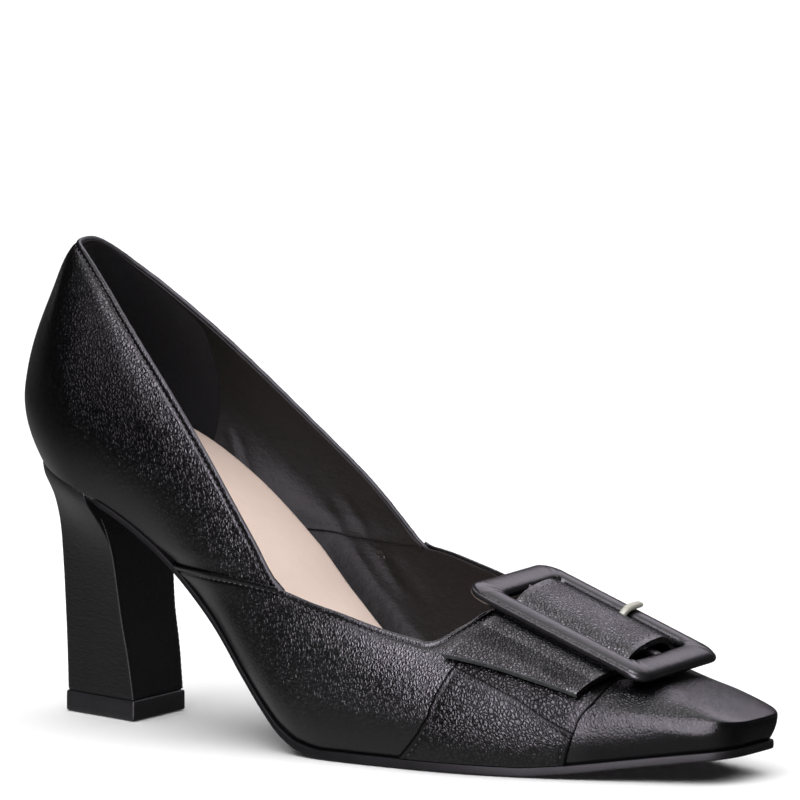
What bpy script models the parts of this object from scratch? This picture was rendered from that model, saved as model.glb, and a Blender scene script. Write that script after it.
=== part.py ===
"""Heeled court shoe for the right foot: hollow upper, insole, thin outsole, flared
block heel with a rubber lift, and a wide strap held in a covered buckle.
Heel to toe runs along +X, the inner side of the foot is +Y, the floor is Z = 0."""
import bpy
import bmesh
import numpy as np
from collections import namedtuple
from math import sin, cos, acos, pi, radians, sqrt
from mathutils import Vector

MM = 0.001

# ---- driving sizes, mm
SHOE_LENGTH = 229.5      # back of the heel curve to the toe, level
BALL_WIDTH = 78.2        # widest part of the forefoot
INSTEP_HEIGHT = 43.0     # top of the foot at the throat
HEEL_HEIGHT = 71.0       # floor to the underside of the sole at the back
WALL = 1.8               # upper leather with its lining
GAP = 0.3                # clearance between pieces that meet
ROOM_FOR_CURVE = 1.22    # extra room round the insole where the wall curves in two ways
CENTRE_X, CENTRE_Y = 114.75, 0.5   # middle of the finished shoe, set at the origin

# ---- sizes of the pattern that the tables are drawn at, mm
PATTERN_LENGTH, PATTERN_BALL = 229.5, 78.2
PATTERN_INSTEP, PATTERN_HEEL = 43.0, 71.0
K_LONG = SHOE_LENGTH / PATTERN_LENGTH
K_WIDE = BALL_WIDTH / PATTERN_BALL
K_INSTEP = INSTEP_HEIGHT / PATTERN_INSTEP
K_HEEL = HEEL_HEIGHT / PATTERN_HEEL

# sections of the last: distance from the heel, half widths at the widest line, height of
# the virtual top line, height of the widest line over the sole, tuck to the sole on each
# side, fullness of the curve over the top, sideways place of the top line
Section = namedtuple("Section", "at lateral medial crest belly tuck_lat tuck_med full ridge")
SECTIONS = (
    Section(0.0,   29.0, 29.0, 152.0, 16.6, 5.8, 5.8, 1.50, 0.0),
    Section(10.5,  29.3, 29.3, 148.6, 17.2, 4.9, 5.0, 1.50, 0.0),
    Section(21.5,  29.5, 29.5, 134.5, 17.7, 3.7, 4.1, 1.58, 0.0),
    Section(29.5,  29.7, 29.7, 126.5, 18.0, 3.5, 4.3, 1.68, 0.0),
    Section(47.5,  30.0, 29.5, 118.0, 17.4, 3.8, 6.2, 1.75, 0.4),
    Section(68.5,  32.0, 31.0, 105.0, 16.1, 4.4, 8.8, 2.00, 0.8),
    Section(83.5,  34.6, 33.4, 95.0,  15.0, 4.5, 9.5, 2.12, 1.0),
    Section(100.5, 37.8, 36.6, 83.0,  13.9, 3.8, 8.0, 2.15, 1.4),
    Section(117.5, 39.4, 38.2, 68.0,  12.8, 2.9, 5.4, 2.10, 1.7),
    Section(133.5, 39.6, 38.6, 54.2,  12.3, 2.7, 3.6, 2.02, 1.9),
    Section(148.5, 39.0, 38.2, 44.6,  11.9, 2.6, 2.9, 2.00, 2.0),
    Section(163.5, 36.8, 36.0, 38.4,  11.1, 2.5, 2.7, 2.10, 1.8),
    Section(178.5, 32.8, 31.7, 32.8,  10.2, 2.5, 2.6, 2.25, 1.4),
    Section(194.5, 27.6, 26.0, 27.2,  9.0,  2.3, 2.3, 2.38, 0.9),
    Section(206.5, 23.0, 21.4, 24.0,  7.9,  2.2, 2.2, 2.55, 0.5),
    Section(217.5, 19.0, 17.2, 21.0,  7.0,  2.1, 2.1, 2.95, 0.2),
    Section(229.5, 15.0, 12.8, 17.0,  6.0,  2.0, 2.0, 3.70, 0.0),
)
# side view of the sole: underside on the outer edge, extra height of the inner edge
# through the waist, thickness, thickness of the insole above it, edge beyond the upper
SoleRow = namedtuple("SoleRow", "at under arch thick insole margin")
SOLE = (
    SoleRow(0.0,   70.2, 0.8, 1.4, 6.0, 0.25),
    SoleRow(13.5,  68.0, 2.5, 1.5, 6.4, 0.25),
    SoleRow(33.5,  61.3, 4.6, 1.6, 6.6, 0.3),
    SoleRow(53.5,  50.0, 5.0, 1.8, 6.6, 0.45),
    SoleRow(73.5,  32.6, 5.0, 2.0, 6.4, 0.6),
    SoleRow(85.5,  18.4, 4.9, 2.1, 6.0, 0.7),
    SoleRow(93.5,  9.8,  3.9, 2.2, 5.6, 0.8),
    SoleRow(99.5,  4.6,  2.8, 2.3, 5.3, 0.9),
    SoleRow(106.5, 1.2,  1.6, 2.4, 5.0, 1.0),
    SoleRow(114.5, 0.0,  0.6, 2.5, 4.8, 1.0),
    SoleRow(121.5, 0.0,  0.0, 2.6, 4.6, 1.0),
    SoleRow(171.5, 0.0,  0.0, 2.6, 4.0, 1.0),
    SoleRow(183.5, 1.0,  0.0, 2.5, 3.8, 1.0),
    SoleRow(199.5, 3.2,  0.0, 2.4, 3.6, 1.0),
    SoleRow(215.5, 5.4,  0.0, 2.4, 3.4, 1.0),
    SoleRow(229.5, 7.2,  0.0, 2.3, 3.2, 1.0),
)
# height of the collar edge over the floor on the outer and the inner side
Edge = namedtuple("Edge", "at lateral medial")
TOPLINE = (
    Edge(8.0,   130.6, 130.6),
    Edge(11.5,  130.2, 130.0),
    Edge(15.5,  129.0, 126.6),
    Edge(19.5,  127.0, 122.6),
    Edge(23.5,  124.2, 119.4),
    Edge(31.5,  117.2, 113.4),
    Edge(44.5,  105.8, 102.8),
    Edge(61.5,  89.2,  87.9),
    Edge(77.2,  72.0,  74.2),
    Edge(85.0,  62.6,  67.2),
    Edge(92.9,  52.9,  58.6),
    Edge(99.6,  45.2,  50.8),
    Edge(102.0, 44.3,  48.8),
    Edge(106.9, 42.8,  47.6),
    Edge(119.4, 39.8,  45.2),
    Edge(131.2, 36.6,  42.8),
    Edge(142.0, 34.3,  40.4),
)
THROAT_START, THROAT_END = 142.0, 154.0   # the opening closes over the top between these
THROAT_ROUND = 2.3

# heel block: share of the drop from seat to lift, back, front, half width at the front,
# and how far the plan has gone from the seat's round to the slim wedge
HeelRow = namedtuple("HeelRow", "drop back front half wedge")
HEEL = (
    HeelRow(0.00, 6.2,  31.0, 25.2, 0.0),
    HeelRow(0.04, 6.6,  31.6, 22.6, 0.1),
    HeelRow(0.09, 7.2,  32.0, 20.0, 0.3),
    HeelRow(0.18, 8.2,  32.3, 17.3, 0.6),
    HeelRow(0.29, 9.0,  32.7, 15.3, 0.85),
    HeelRow(0.42, 9.5,  33.1, 14.0, 1.0),
    HeelRow(0.60, 9.9,  34.1, 13.1, 1.0),
    HeelRow(0.80, 10.3, 36.0, 12.6, 1.0),
    HeelRow(1.00, 10.5, 37.3, 12.1, 1.0),
)
HEEL_ROUND = 2.15
WEDGE_TAPER = 0.54       # share of the width lost from front to back in the wedge plan
WEDGE_CORNER = 0.90      # where the wedge plan turns into its short back
LIFT_HEIGHT = 5.4
LIFT_PROUD = 0.5

# buckle: middle of the frame, slope to the toe and to the inner side, outer sizes, section
BUCKLE_AT = (176.9, 0.0, 37.1)
BUCKLE_PITCH, BUCKLE_ROLL = 19.9, -1.4
BUCKLE_LONG, BUCKLE_WIDE = 58.8, 39.8
BUCKLE_BAR, BUCKLE_END, BUCKLE_THICK = 6.5, 8.9, 3.6
BUCKLE_CORNER, BUCKLE_INNER_CORNER = 4.6, 1.0
CENTRE_BAR_RADIUS, CENTRE_BAR_DROP = 1.1, 0.0
RingPoint = namedtuple("RingPoint", "across up")
BAR_SECTION = (
    RingPoint(0.00, -0.45), RingPoint(0.00, 0.35), RingPoint(0.14, 0.82), RingPoint(0.38, 1.00),
    RingPoint(0.62, 1.00), RingPoint(0.86, 0.82), RingPoint(1.00, 0.35), RingPoint(1.00, -0.45),
    RingPoint(0.86, -1.00), RingPoint(0.14, -1.00),
)
# strap: thickness, half width in the frame and its shift to the toe
STRAP_THICK = 2.0
STRAP_HALF, STRAP_SHIFT = 18.8, 0.4
STRAP_SWEEP = 0.5        # rearward run of the strap down each side
STRAP_END_REAR, STRAP_END_FRONT = 32.8, 26.8   # free end on the outer side
STRAP_LIFT = 0.6         # room for the panel under the free end
SLOT_FROM, SLOT_TO, SLOT_HALF = 5.4, 12.0, 1.3
# middle of the strap in the frame: under the near side, over the bar, under the far side
ArchRow = namedtuple("ArchRow", "at up")
STRAP_ARCH = (
    ArchRow(-15.6, -3.2), ArchRow(-13.6, -2.95), ArchRow(-11.8, -1.7), ArchRow(-10.0, 0.1), ArchRow(-7.0, 1.6),
    ArchRow(-2.0, 2.8), ArchRow(2.5, 3.05), ArchRow(6.7, 2.0), ArchRow(9.8, 0.1), ArchRow(11.8, -1.7),
    ArchRow(13.6, -2.95), ArchRow(15.6, -3.2),
)
# prong: radius and run from the centre bar to the far side of the frame
PRONG_RADIUS, PRONG_AT = 0.7, 1.5
ProngPoint = namedtuple("ProngPoint", "across up")
PRONG_RUN = (
    ProngPoint(4.4, -0.2), ProngPoint(7.2, 0.5), ProngPoint(9.8, 1.55), ProngPoint(12.2, 2.5),
    ProngPoint(14.6, 2.85), ProngPoint(17.0, 2.85), ProngPoint(19.4, 2.8),
)

HEEL_AXIS = 29.5         # sections fan out behind this place
TOE_AXIS = 212.5         # and in front of this one
HEEL_CURVE_FROM, HEEL_CURVE = 28.5, 2.15
TOE_CURVE_FROM, TOE_CURVE = 214.5, 4.2


# ---- curves through the tables
def smooth_curve(places, values):
    """Natural cubic through the rows."""
    x, y = np.array(places, float), np.array(values, float)
    n, h = len(x), np.diff(x)
    a, r = np.eye(n), np.zeros(n)
    for i in range(1, n - 1):
        a[i, i - 1], a[i, i], a[i, i + 1] = h[i - 1], 2 * (h[i - 1] + h[i]), h[i]
        r[i] = 6 * ((y[i + 1] - y[i]) / h[i] - (y[i] - y[i - 1]) / h[i - 1])
    m = np.linalg.solve(a, r)

    def at(p):
        p = min(max(p, x[0]), x[-1])
        i = min(max(int(np.searchsorted(x, p)) - 1, 0), n - 2)
        u, v = x[i + 1] - p, p - x[i]
        return float((m[i] * u ** 3 + m[i + 1] * v ** 3) / (6 * h[i])
                     + (y[i] / h[i] - m[i] * h[i] / 6) * u + (y[i + 1] / h[i] - m[i + 1] * h[i] / 6) * v)
    return at


def steady_curve(places, values):
    """Cubic that never swings past its rows, so flats stay flat."""
    x, y = np.array(places, float), np.array(values, float)
    h = np.diff(x)
    d = np.diff(y) / h
    m = np.zeros(len(x))
    m[0], m[-1] = d[0], d[-1]
    for i in range(1, len(x) - 1):
        if d[i - 1] * d[i] > 0:
            p, q = 2 * h[i] + h[i - 1], h[i] + 2 * h[i - 1]
            m[i] = (p + q) / (p / d[i - 1] + q / d[i])

    def at(p):
        p = min(max(p, x[0]), x[-1])
        i = min(max(int(np.searchsorted(x, p)) - 1, 0), len(x) - 2)
        t = (p - x[i]) / h[i]
        return float((1 + 2 * t) * (1 - t) ** 2 * y[i] + t * (1 - t) ** 2 * h[i] * m[i]
                     + t * t * (3 - 2 * t) * y[i + 1] + t * t * (t - 1) * h[i] * m[i + 1])
    return at


def column(rows, name, scale=1.0, kind=smooth_curve):
    return kind([r.at * K_LONG for r in rows], [getattr(r, name) * scale for r in rows])


LATERAL, MEDIAL = column(SECTIONS, "lateral", K_WIDE), column(SECTIONS, "medial", K_WIDE)
CREST = column(SECTIONS, "crest", K_INSTEP)
BELLY = column(SECTIONS, "belly", K_INSTEP)
TUCK_LAT, TUCK_MED = column(SECTIONS, "tuck_lat", K_WIDE), column(SECTIONS, "tuck_med", K_WIDE)
FULL, RIDGE = column(SECTIONS, "full"), column(SECTIONS, "ridge", K_WIDE)
UNDER = column(SOLE, "under", K_HEEL, steady_curve)
ARCH = column(SOLE, "arch", K_HEEL, steady_curve)
THICK, INSOLE = column(SOLE, "thick", 1.0, steady_curve), column(SOLE, "insole", 1.0, steady_curve)
MARGIN = column(SOLE, "margin", 1.0, steady_curve)
EDGE_LAT, EDGE_MED = column(TOPLINE, "lateral", K_INSTEP), column(TOPLINE, "medial", K_INSTEP)
HEEL_AXIS, TOE_AXIS = HEEL_AXIS * K_LONG, TOE_AXIS * K_LONG
HEEL_CURVE_FROM, TOE_CURVE_FROM = HEEL_CURVE_FROM * K_LONG, TOE_CURVE_FROM * K_LONG


def ease(t):
    t = min(max(t, 0.0), 1.0)
    return t * t * (3 - 2 * t)


def half_width(x, side):
    x = min(max(x, 0.0), SHOE_LENGTH)
    w = LATERAL(x) if side < 0 else MEDIAL(x)
    back = min(max((HEEL_CURVE_FROM - x) / HEEL_CURVE_FROM, 0.0), 1.0)
    front = min(max((x - TOE_CURVE_FROM) / (SHOE_LENGTH - TOE_CURVE_FROM), 0.0), 1.0)
    return w * (1 - back ** HEEL_CURVE) ** (1 / HEEL_CURVE) * (1 - front ** TOE_CURVE) ** (1 / TOE_CURVE)


def underside(x, y):
    return UNDER(x) + ARCH(x) * ease((y + 25 * K_WIDE) / (50 * K_WIDE))


def feather(x, y):
    """Top of the sole, where the upper meets it."""
    return underside(x, y) + THICK(x)


class Station:
    """One upright half section: straight across the foot, or fanned at heel and toe."""

    def __init__(self, axis, angle, side):
        self.axis, self.side = axis, side
        self.y0 = RIDGE(axis)
        self.c, self.s = cos(radians(angle)), sin(radians(angle)) * side
        if angle == 90.0:
            self.c = 0.0
            self.reach = half_width(axis, side) - side * self.y0
        else:
            low, high = 0.0, 80.0
            for _ in range(48):
                mid = (low + high) / 2
                x, y = axis + mid * self.c, self.y0 + mid * self.s
                inside = 0 < x < SHOE_LENGTH and abs(y) <= half_width(x, 1 if y > 0 else -1) + 1e-9
                low, high = (mid, high) if inside else (low, mid)
            self.reach = low
        edge = min(max(axis + self.reach * self.c, 0.0), SHOE_LENGTH)
        self.tuck = TUCK_LAT(edge) if side < 0 else TUCK_MED(edge)
        self.belly = BELLY(edge)

    def plan(self, rho):
        return self.axis + rho * self.c, self.y0 + rho * self.s

    def rho_low(self, level):
        return self.reach - self.tuck * (1 - level) ** 2

    def point(self, level):
        """Outer face: 0 at the sole, 1 at the widest line, 2 on the top line."""
        if level <= 1:
            x, y = self.plan(self.rho_low(level))
            return Vector((x, y, feather(x, y) + GAP + self.belly * level))
        a = (level - 1) * pi / 2
        full = FULL(self.axis + self.reach * self.c * cos(a))
        x, y = self.plan(self.reach * max(cos(a), 0.0) ** (2 / full))
        low = feather(x, y) + GAP + self.belly
        return Vector((x, y, low + (CREST(x) - low) * sin(a) ** (2 / full)))

    def level_at(self, y):
        """Level above the widest line where a straight section stands at this y."""
        share = min(max(abs(y - self.y0) / self.reach, 0.0), 1.0)
        return 1 + acos(share ** (FULL(self.axis) / 2)) * 2 / pi

    def normal(self, level):
        d = 0.01
        along = self.point(min(level + d, 2.0)) - self.point(max(level - d, 0.0))
        ahead = Station(self.axis + 0.2, 90.0, self.side).point(level) - self.point(level)
        n = ahead.cross(along) * -self.side
        return n.normalized()

    def side_room(self, level):
        """Sideways run that clears the wall and the gap at a level below the widest line."""
        lean = 2 * self.tuck / self.belly * (1 - level)
        x, y = self.plan(self.rho_low(level))
        fall = (feather(x + 1, y) - feather(x - 1, y)) / 2
        return (WALL + GAP) * sqrt(1 + lean * lean * (1 + fall * fall)) * ROOM_FOR_CURVE

    def collar_level(self):
        """Where the collar edge or the throat cuts this section."""
        if self.c == 0.0 and self.axis >= THROAT_END * K_LONG:
            return 2.0
        if self.c > 0.0:
            return 2.0
        edge = EDGE_LAT if self.side < 0 else EDGE_MED
        start = THROAT_START * K_LONG
        if self.c == 0.0 and self.axis > start:
            at_start = Station(start, 90.0, self.side)
            share = abs(at_start.point(at_start.collar_level()).y - at_start.y0) / at_start.reach
            t = (self.axis - start) / (THROAT_END * K_LONG - start)
            return self.level_at(self.y0 + self.side * self.reach * share
                                 * (1 - t ** THROAT_ROUND) ** (1 / THROAT_ROUND))
        low, high = 1.0, 2.0
        for _ in range(40):
            mid = (low + high) / 2
            p = self.point(mid)
            low, high = (mid, high) if p.z < edge(p.x) else (low, mid)
        return low


HEEL_STEPS, TOE_STEPS = 9, 9


def station_places():
    """(axis, angle) from the middle of the heel round one side to the middle of the toe."""
    places = [(HEEL_AXIS, 180.0 - 90.0 * i / HEEL_STEPS) for i in range(HEEL_STEPS)]
    straight = list(np.linspace(HEEL_AXIS, THROAT_START * K_LONG, 22))
    span = (THROAT_END - THROAT_START) * K_LONG
    straight += [THROAT_START * K_LONG + span * sin(pi / 2 * i / 6) for i in range(1, 7)]
    straight += list(np.linspace(THROAT_END * K_LONG, TOE_AXIS, 11)[1:])
    places += [(float(x), 90.0) for x in straight]
    places += [(TOE_AXIS, 90.0 - 90.0 * i / TOE_STEPS) for i in range(1, TOE_STEPS + 1)]
    return places


PLACES = station_places()
STATIONS = {side: [Station(axis, angle, side) for axis, angle in PLACES] for side in (-1, 1)}


# ---- building helpers
def material(name, colour, roughness, metallic=0.0):
    m = bpy.data.materials.new(name)
    m.use_nodes = True
    shader = m.node_tree.nodes["Principled BSDF"]
    shader.inputs["Base Color"].default_value = (*colour, 1.0)
    shader.inputs["Roughness"].default_value = roughness
    shader.inputs["Metallic"].default_value = metallic
    m.diffuse_color = (*colour, 1.0)
    return m


def placed(p):
    return Vector(((p[0] - CENTRE_X) * MM, (p[1] - CENTRE_Y) * MM, p[2] * MM))


def finish(name, bm, mat, smooth=True, outward=True):
    bmesh.ops.remove_doubles(bm, verts=bm.verts, dist=2e-6)
    if outward:
        bmesh.ops.recalc_face_normals(bm, faces=bm.faces)
    mesh = bpy.data.meshes.new(name)
    bm.to_mesh(mesh)
    bm.free()
    for face in mesh.polygons:
        face.use_smooth = smooth
    obj = bpy.data.objects.new(name, mesh)
    bpy.context.scene.collection.objects.link(obj)
    mesh.materials.append(mat)
    return obj


def add_grid(bm, rows, closed=False):
    """Quads between neighbouring rows of points; returns the rows of vertices."""
    made = [[bm.verts.new(placed(p)) for p in row] for row in rows]
    for a, b in zip(made, made[1:]):
        n = len(a)
        for i in range(n if closed else n - 1):
            j = (i + 1) % n
            quad = [a[i], a[j], b[j], b[i]]
            if len({tuple(round(c, 9) for c in v.co) for v in quad}) >= 3:
                bm.faces.new(quad)
    return made


def weld_collapsed(bm):
    bmesh.ops.remove_doubles(bm, verts=bm.verts, dist=2e-6)
    bmesh.ops.dissolve_degenerate(bm, edges=bm.edges, dist=1e-7)


# ---- upper
def build_upper(mat):
    bm = bmesh.new()
    low_steps, high_steps = 4, 8
    for side in (-1, 1):
        rows = []
        for st in STATIONS[side]:
            top = st.collar_level()
            levels = [i / low_steps for i in range(low_steps)]
            levels += [1 + (top - 1) * i / high_steps for i in range(high_steps + 1)]
            rows.append([st.point(v) for v in levels])
        add_grid(bm, rows)
    weld_collapsed(bm)
    obj = finish("upper", bm, mat)
    wall = obj.modifiers.new("wall", "SOLIDIFY")
    wall.thickness = WALL * MM
    wall.offset = -1.0
    wall.use_rim = True
    wall.use_even_offset = False
    return obj


# ---- plates that follow the sole
PLATE_RINGS = (0.0, 0.45, 0.75, 1.0)


def add_plate(bm, edge_rows, top_z, bottom_z):
    """Closed plate. edge_rows gives, per station, the edge from bottom to top as
    (rho, share of the way up); faces above and below run in rings to the middle line."""
    for side in (-1, 1):
        rows = []
        for st in STATIONS[side]:
            edge = edge_rows(st)
            loop = []
            for share in PLATE_RINGS[:-1]:
                x, y = st.plan(edge[0][0] * share)
                loop.append((x, y, bottom_z(x, y)))
            for rho, up in edge:
                x, y = st.plan(rho)
                low, high = bottom_z(x, y), top_z(x, y)
                loop.append((x, y, low + (high - low) * up))
            for share in reversed(PLATE_RINGS[:-1]):
                x, y = st.plan(edge[-1][0] * share)
                loop.append((x, y, top_z(x, y)))
            rows.append(loop)
        add_grid(bm, rows)
    weld_collapsed(bm)


def build_insole(mat):
    def edge(st):
        x, y = st.plan(st.rho_low(0))
        low, high = 2 * GAP / st.belly, (GAP + INSOLE(x)) / st.belly
        return [(st.rho_low(v) - st.side_room(v), up) for v, up in ((low, 0.0), (high, 1.0))]

    bm = bmesh.new()
    add_plate(bm, edge, lambda x, y: feather(x, y) + GAP + INSOLE(x), lambda x, y: feather(x, y) + GAP)
    return finish("insole", bm, mat)


def build_outsole(mat):
    def edge(st):
        rho = st.rho_low(0)
        margin = MARGIN(st.plan(rho)[0])
        return [(rho + margin * 0.35, 0.0), (rho + margin, 0.45), (rho + margin * 0.7, 1.0)]

    bm = bmesh.new()
    add_plate(bm, edge, feather, underside)
    return finish("outsole", bm, mat)


# ---- heel block and lift
HEEL_PLAN = (0.0, 0.12, 0.28, 0.45, 0.62, 0.76, 0.86, 0.92, 0.965, 0.99, 1.0)
ACROSS = (-1.0, -0.5, 0.0, 0.5, 1.0)


def heel_width(share, wedge):
    round_plan = (1 - share ** HEEL_ROUND) ** (1 / HEEL_ROUND)
    turn = max(0.0, (share - WEDGE_CORNER) / (1 - WEDGE_CORNER))
    wedge_plan = (1 - WEDGE_TAPER * share) * (1 - turn ** 3.0) ** (1 / 3.0)
    return round_plan * (1 - wedge) + wedge_plan * wedge


def heel_outline(row, proud=0.0):
    """Outline points from the front outer corner round the back to the inner corner."""
    front, back, half = row.front * K_LONG + proud, row.back * K_LONG - proud, row.half * K_WIDE + proud
    pts = [(front + (back - front) * s, half * heel_width(s, row.wedge)) for s in HEEL_PLAN]
    breast = [(front, half * a) for a in reversed(ACROSS[1:-1])]
    return [(x, -w) for x, w in pts] + [(x, w) for x, w in reversed(pts[:-1])] + breast


def build_heel(mat):
    bm = bmesh.new()
    rings = []
    floor = LIFT_HEIGHT + GAP
    for row in HEEL:
        ring = []
        for x, y in heel_outline(row):
            seat = underside(x, y) - GAP
            ring.append((x, y, seat + (floor - seat) * row.drop))
        rings.append(ring)
    made = add_grid(bm, rings, closed=True)
    top, n = HEEL[0], len(HEEL_PLAN)
    cross = []
    for i, share in enumerate(HEEL_PLAN[:-1]):
        x, y = heel_outline(top)[i]
        cross.append([(x, -a * y, underside(x, -a * y) - GAP) for a in ACROSS])
    x, y = heel_outline(top)[n - 1]
    cross.append([(x, 0.0, underside(x, 0.0) - GAP)] * len(ACROSS))
    add_grid(bm, cross)
    bm.faces.new(made[-1])
    weld_collapsed(bm)
    return finish("heel", bm, mat)


def build_lift(mat):
    bm = bmesh.new()
    outline = heel_outline(HEEL[-1], LIFT_PROUD)
    rings = [[(x, y, z) for x, y in outline] for z in (0.0, LIFT_HEIGHT)]
    made = add_grid(bm, rings, closed=True)
    bm.faces.new(made[0])
    bm.faces.new(made[-1])
    return finish("top_lift", bm, mat, smooth=False)


# ---- buckle, strap, prong in the frame's own directions
PITCH = radians(BUCKLE_PITCH)
B_ALONG = Vector((cos(PITCH), 0, -sin(PITCH)))
B_ACROSS = Vector((0, cos(radians(BUCKLE_ROLL)), -sin(radians(BUCKLE_ROLL))))
B_ACROSS = (B_ACROSS - B_ALONG * B_ACROSS.dot(B_ALONG)).normalized()
B_UP = B_ALONG.cross(B_ACROSS)
B_MIDDLE = Vector(BUCKLE_AT)


def in_frame(along, across, up):
    return B_MIDDLE + B_ALONG * along + B_ACROSS * across + B_UP * up


def rounded_rectangle(half_long, half_wide, corner, steps=5):
    pts = []
    for sx, sy, start in ((1, 1, 0), (-1, 1, 90), (-1, -1, 180), (1, -1, 270)):
        for i in range(steps):
            a = radians(start + 90 * i / (steps - 1))
            pts.append((sx * (half_long - corner) + corner * cos(a), sy * (half_wide - corner) + corner * sin(a)))
    return pts


def build_buckle(mat):
    outer = rounded_rectangle(BUCKLE_LONG / 2, BUCKLE_WIDE / 2, BUCKLE_CORNER)
    inner = rounded_rectangle(BUCKLE_LONG / 2 - BUCKLE_END, BUCKLE_WIDE / 2 - BUCKLE_BAR, BUCKLE_INNER_CORNER)
    rows = []
    for (ox, oy), (ix, iy) in zip(outer, inner):
        rows.append([in_frame(ix + (ox - ix) * p.across, iy + (oy - iy) * p.across, p.up * BUCKLE_THICK / 2)
                     for p in BAR_SECTION])
    bm = bmesh.new()
    add_grid(bm, rows + rows[:1], closed=True)
    frame = finish("buckle", bm, mat)

    bm = bmesh.new()
    reach = BUCKLE_LONG / 2 - BUCKLE_END * 0.5
    rings = []
    for along in (-reach, reach):
        rings.append([in_frame(along, CENTRE_BAR_RADIUS * cos(2 * pi * i / 12),
                               -CENTRE_BAR_DROP + CENTRE_BAR_RADIUS * sin(2 * pi * i / 12)) for i in range(12)])
    made = add_grid(bm, rings, closed=True)
    bm.faces.new(made[0])
    bm.faces.new(made[1])
    bar = finish("buckle_centre_bar_guide", bm, mat)
    bar.hide_render = True
    bar.display_type = "WIRE"
    join = frame.modifiers.new("centre bar", "BOOLEAN")
    join.operation = "UNION"
    join.solver = "EXACT"
    join.object = bar
    return frame


ARCH_HEIGHT = steady_curve([r.at for r in STRAP_ARCH], [r.up for r in STRAP_ARCH])
BLEND_FROM, BLEND_TO = 18.5, 26.0


def strap_middle(along, way):
    """Middle of the strap. way runs from -2 at the free outer end, over -1..1 across the
    frame between the blends, to 2 at the sole on the inner side."""
    side = -1 if way < 0 else 1
    x_frame = B_MIDDLE.x + along * B_ALONG.x
    if abs(way) <= 1:
        across = way * BLEND_TO
        flat = in_frame(along, across - B_MIDDLE.y, ARCH_HEIGHT(across - B_MIDDLE.y))
        t = ease((abs(across) - BLEND_FROM) / (BLEND_TO - BLEND_FROM))
        if t == 0:
            return flat
        return flat.lerp(strap_on_side(x_frame, side, abs(across)), t)
    if side < 0:
        share = ((along - STRAP_SHIFT) / STRAP_HALF + 1) / 2
        end = STRAP_END_REAR + (STRAP_END_FRONT - STRAP_END_REAR) * share
        return strap_on_side(x_frame, side, BLEND_TO + (end - BLEND_TO) * (-way - 1))
    return strap_on_side(x_frame, side, BLEND_TO, way - 1)


def strap_on_side(x_frame, side, y, down=0.0):
    x = x_frame - STRAP_SWEEP * (y - BLEND_FROM + 4)
    st = Station(x - STRAP_SWEEP * 8 * down, 90.0, side)
    level = st.level_at(side * min(y, st.reach - 1.2))
    level += (0.16 - level) * down
    lift = GAP + STRAP_THICK / 2 + (STRAP_LIFT if side < 0 else 0.48)
    return st.point(level) + st.normal(level) * lift


def build_strap(mat):
    ways = [-2 + i / 3 for i in range(3)] + [-1 + i / 20 for i in range(41)] + [1 + i / 7 for i in range(1, 8)]
    alongs = [STRAP_SHIFT + STRAP_HALF * (-1 + 2 * i / 8) for i in range(9)]
    middle = [[strap_middle(a, w) for a in alongs] for w in ways]
    half = STRAP_THICK / 2
    faces = {1: [], -1: []}
    for i, row in enumerate(middle):
        up, low = [], []
        for j, p in enumerate(row):
            run = middle[min(i + 1, len(middle) - 1)][j] - middle[max(i - 1, 0)][j]
            ahead = row[min(j + 1, len(row) - 1)] - row[max(j - 1, 0)]
            n = ahead.cross(run).normalized()
            up.append(p + n * half)
            low.append(p - n * half)
        faces[1].append(up)
        faces[-1].append(low)
    bm = bmesh.new()
    loops = [list(u) + list(reversed(v)) for u, v in zip(faces[1], faces[-1])]
    made = add_grid(bm, loops, closed=True)
    n = len(alongs)
    for loop in (made[0], made[-1]):
        for i in range(n - 1):
            bm.faces.new([loop[i], loop[i + 1], loop[2 * n - 2 - i], loop[2 * n - 1 - i]])
    strap = finish("strap", bm, mat)

    bm = bmesh.new()
    rings = [[in_frame(PRONG_AT + a, c, u) for a, c in ((-SLOT_HALF, SLOT_FROM), (SLOT_HALF, SLOT_FROM),
                                                        (SLOT_HALF, SLOT_TO), (-SLOT_HALF, SLOT_TO))]
             for u in (-6.0, 6.0)]
    made = add_grid(bm, rings, closed=True)
    bm.faces.new(made[0])
    bm.faces.new(made[1])
    cutter = finish("strap_slot_guide", bm, mat, smooth=False)
    cutter.hide_render = True
    cutter.display_type = "WIRE"
    cut = strap.modifiers.new("prong slot", "BOOLEAN")
    cut.operation = "DIFFERENCE"
    cut.solver = "EXACT"
    cut.object = cutter
    return strap


def build_prong(mat):
    hook = CENTRE_BAR_RADIUS + GAP + PRONG_RADIUS
    path = [(hook * cos(radians(a)), -CENTRE_BAR_DROP + hook * sin(radians(a))) for a in range(195, 346, 30)]
    path += [(p.across, p.up) for p in PRONG_RUN]
    rings = []
    for i, (c, u) in enumerate(path):
        c0, u0 = path[max(i - 1, 0)]
        c1, u1 = path[min(i + 1, len(path) - 1)]
        d = Vector((c1 - c0, u1 - u0)).normalized()
        size = PRONG_RADIUS * (0.75 if i in (0, len(path) - 1) else 1.0)
        rings.append([in_frame(PRONG_AT + size * cos(2 * pi * k / 8), c - d.y * size * sin(2 * pi * k / 8),
                               u + d.x * size * sin(2 * pi * k / 8)) for k in range(8)])
    bm = bmesh.new()
    made = add_grid(bm, rings, closed=True)
    bm.faces.new(made[0])
    bm.faces.new(made[-1])
    return finish("prong", bm, mat)


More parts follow.
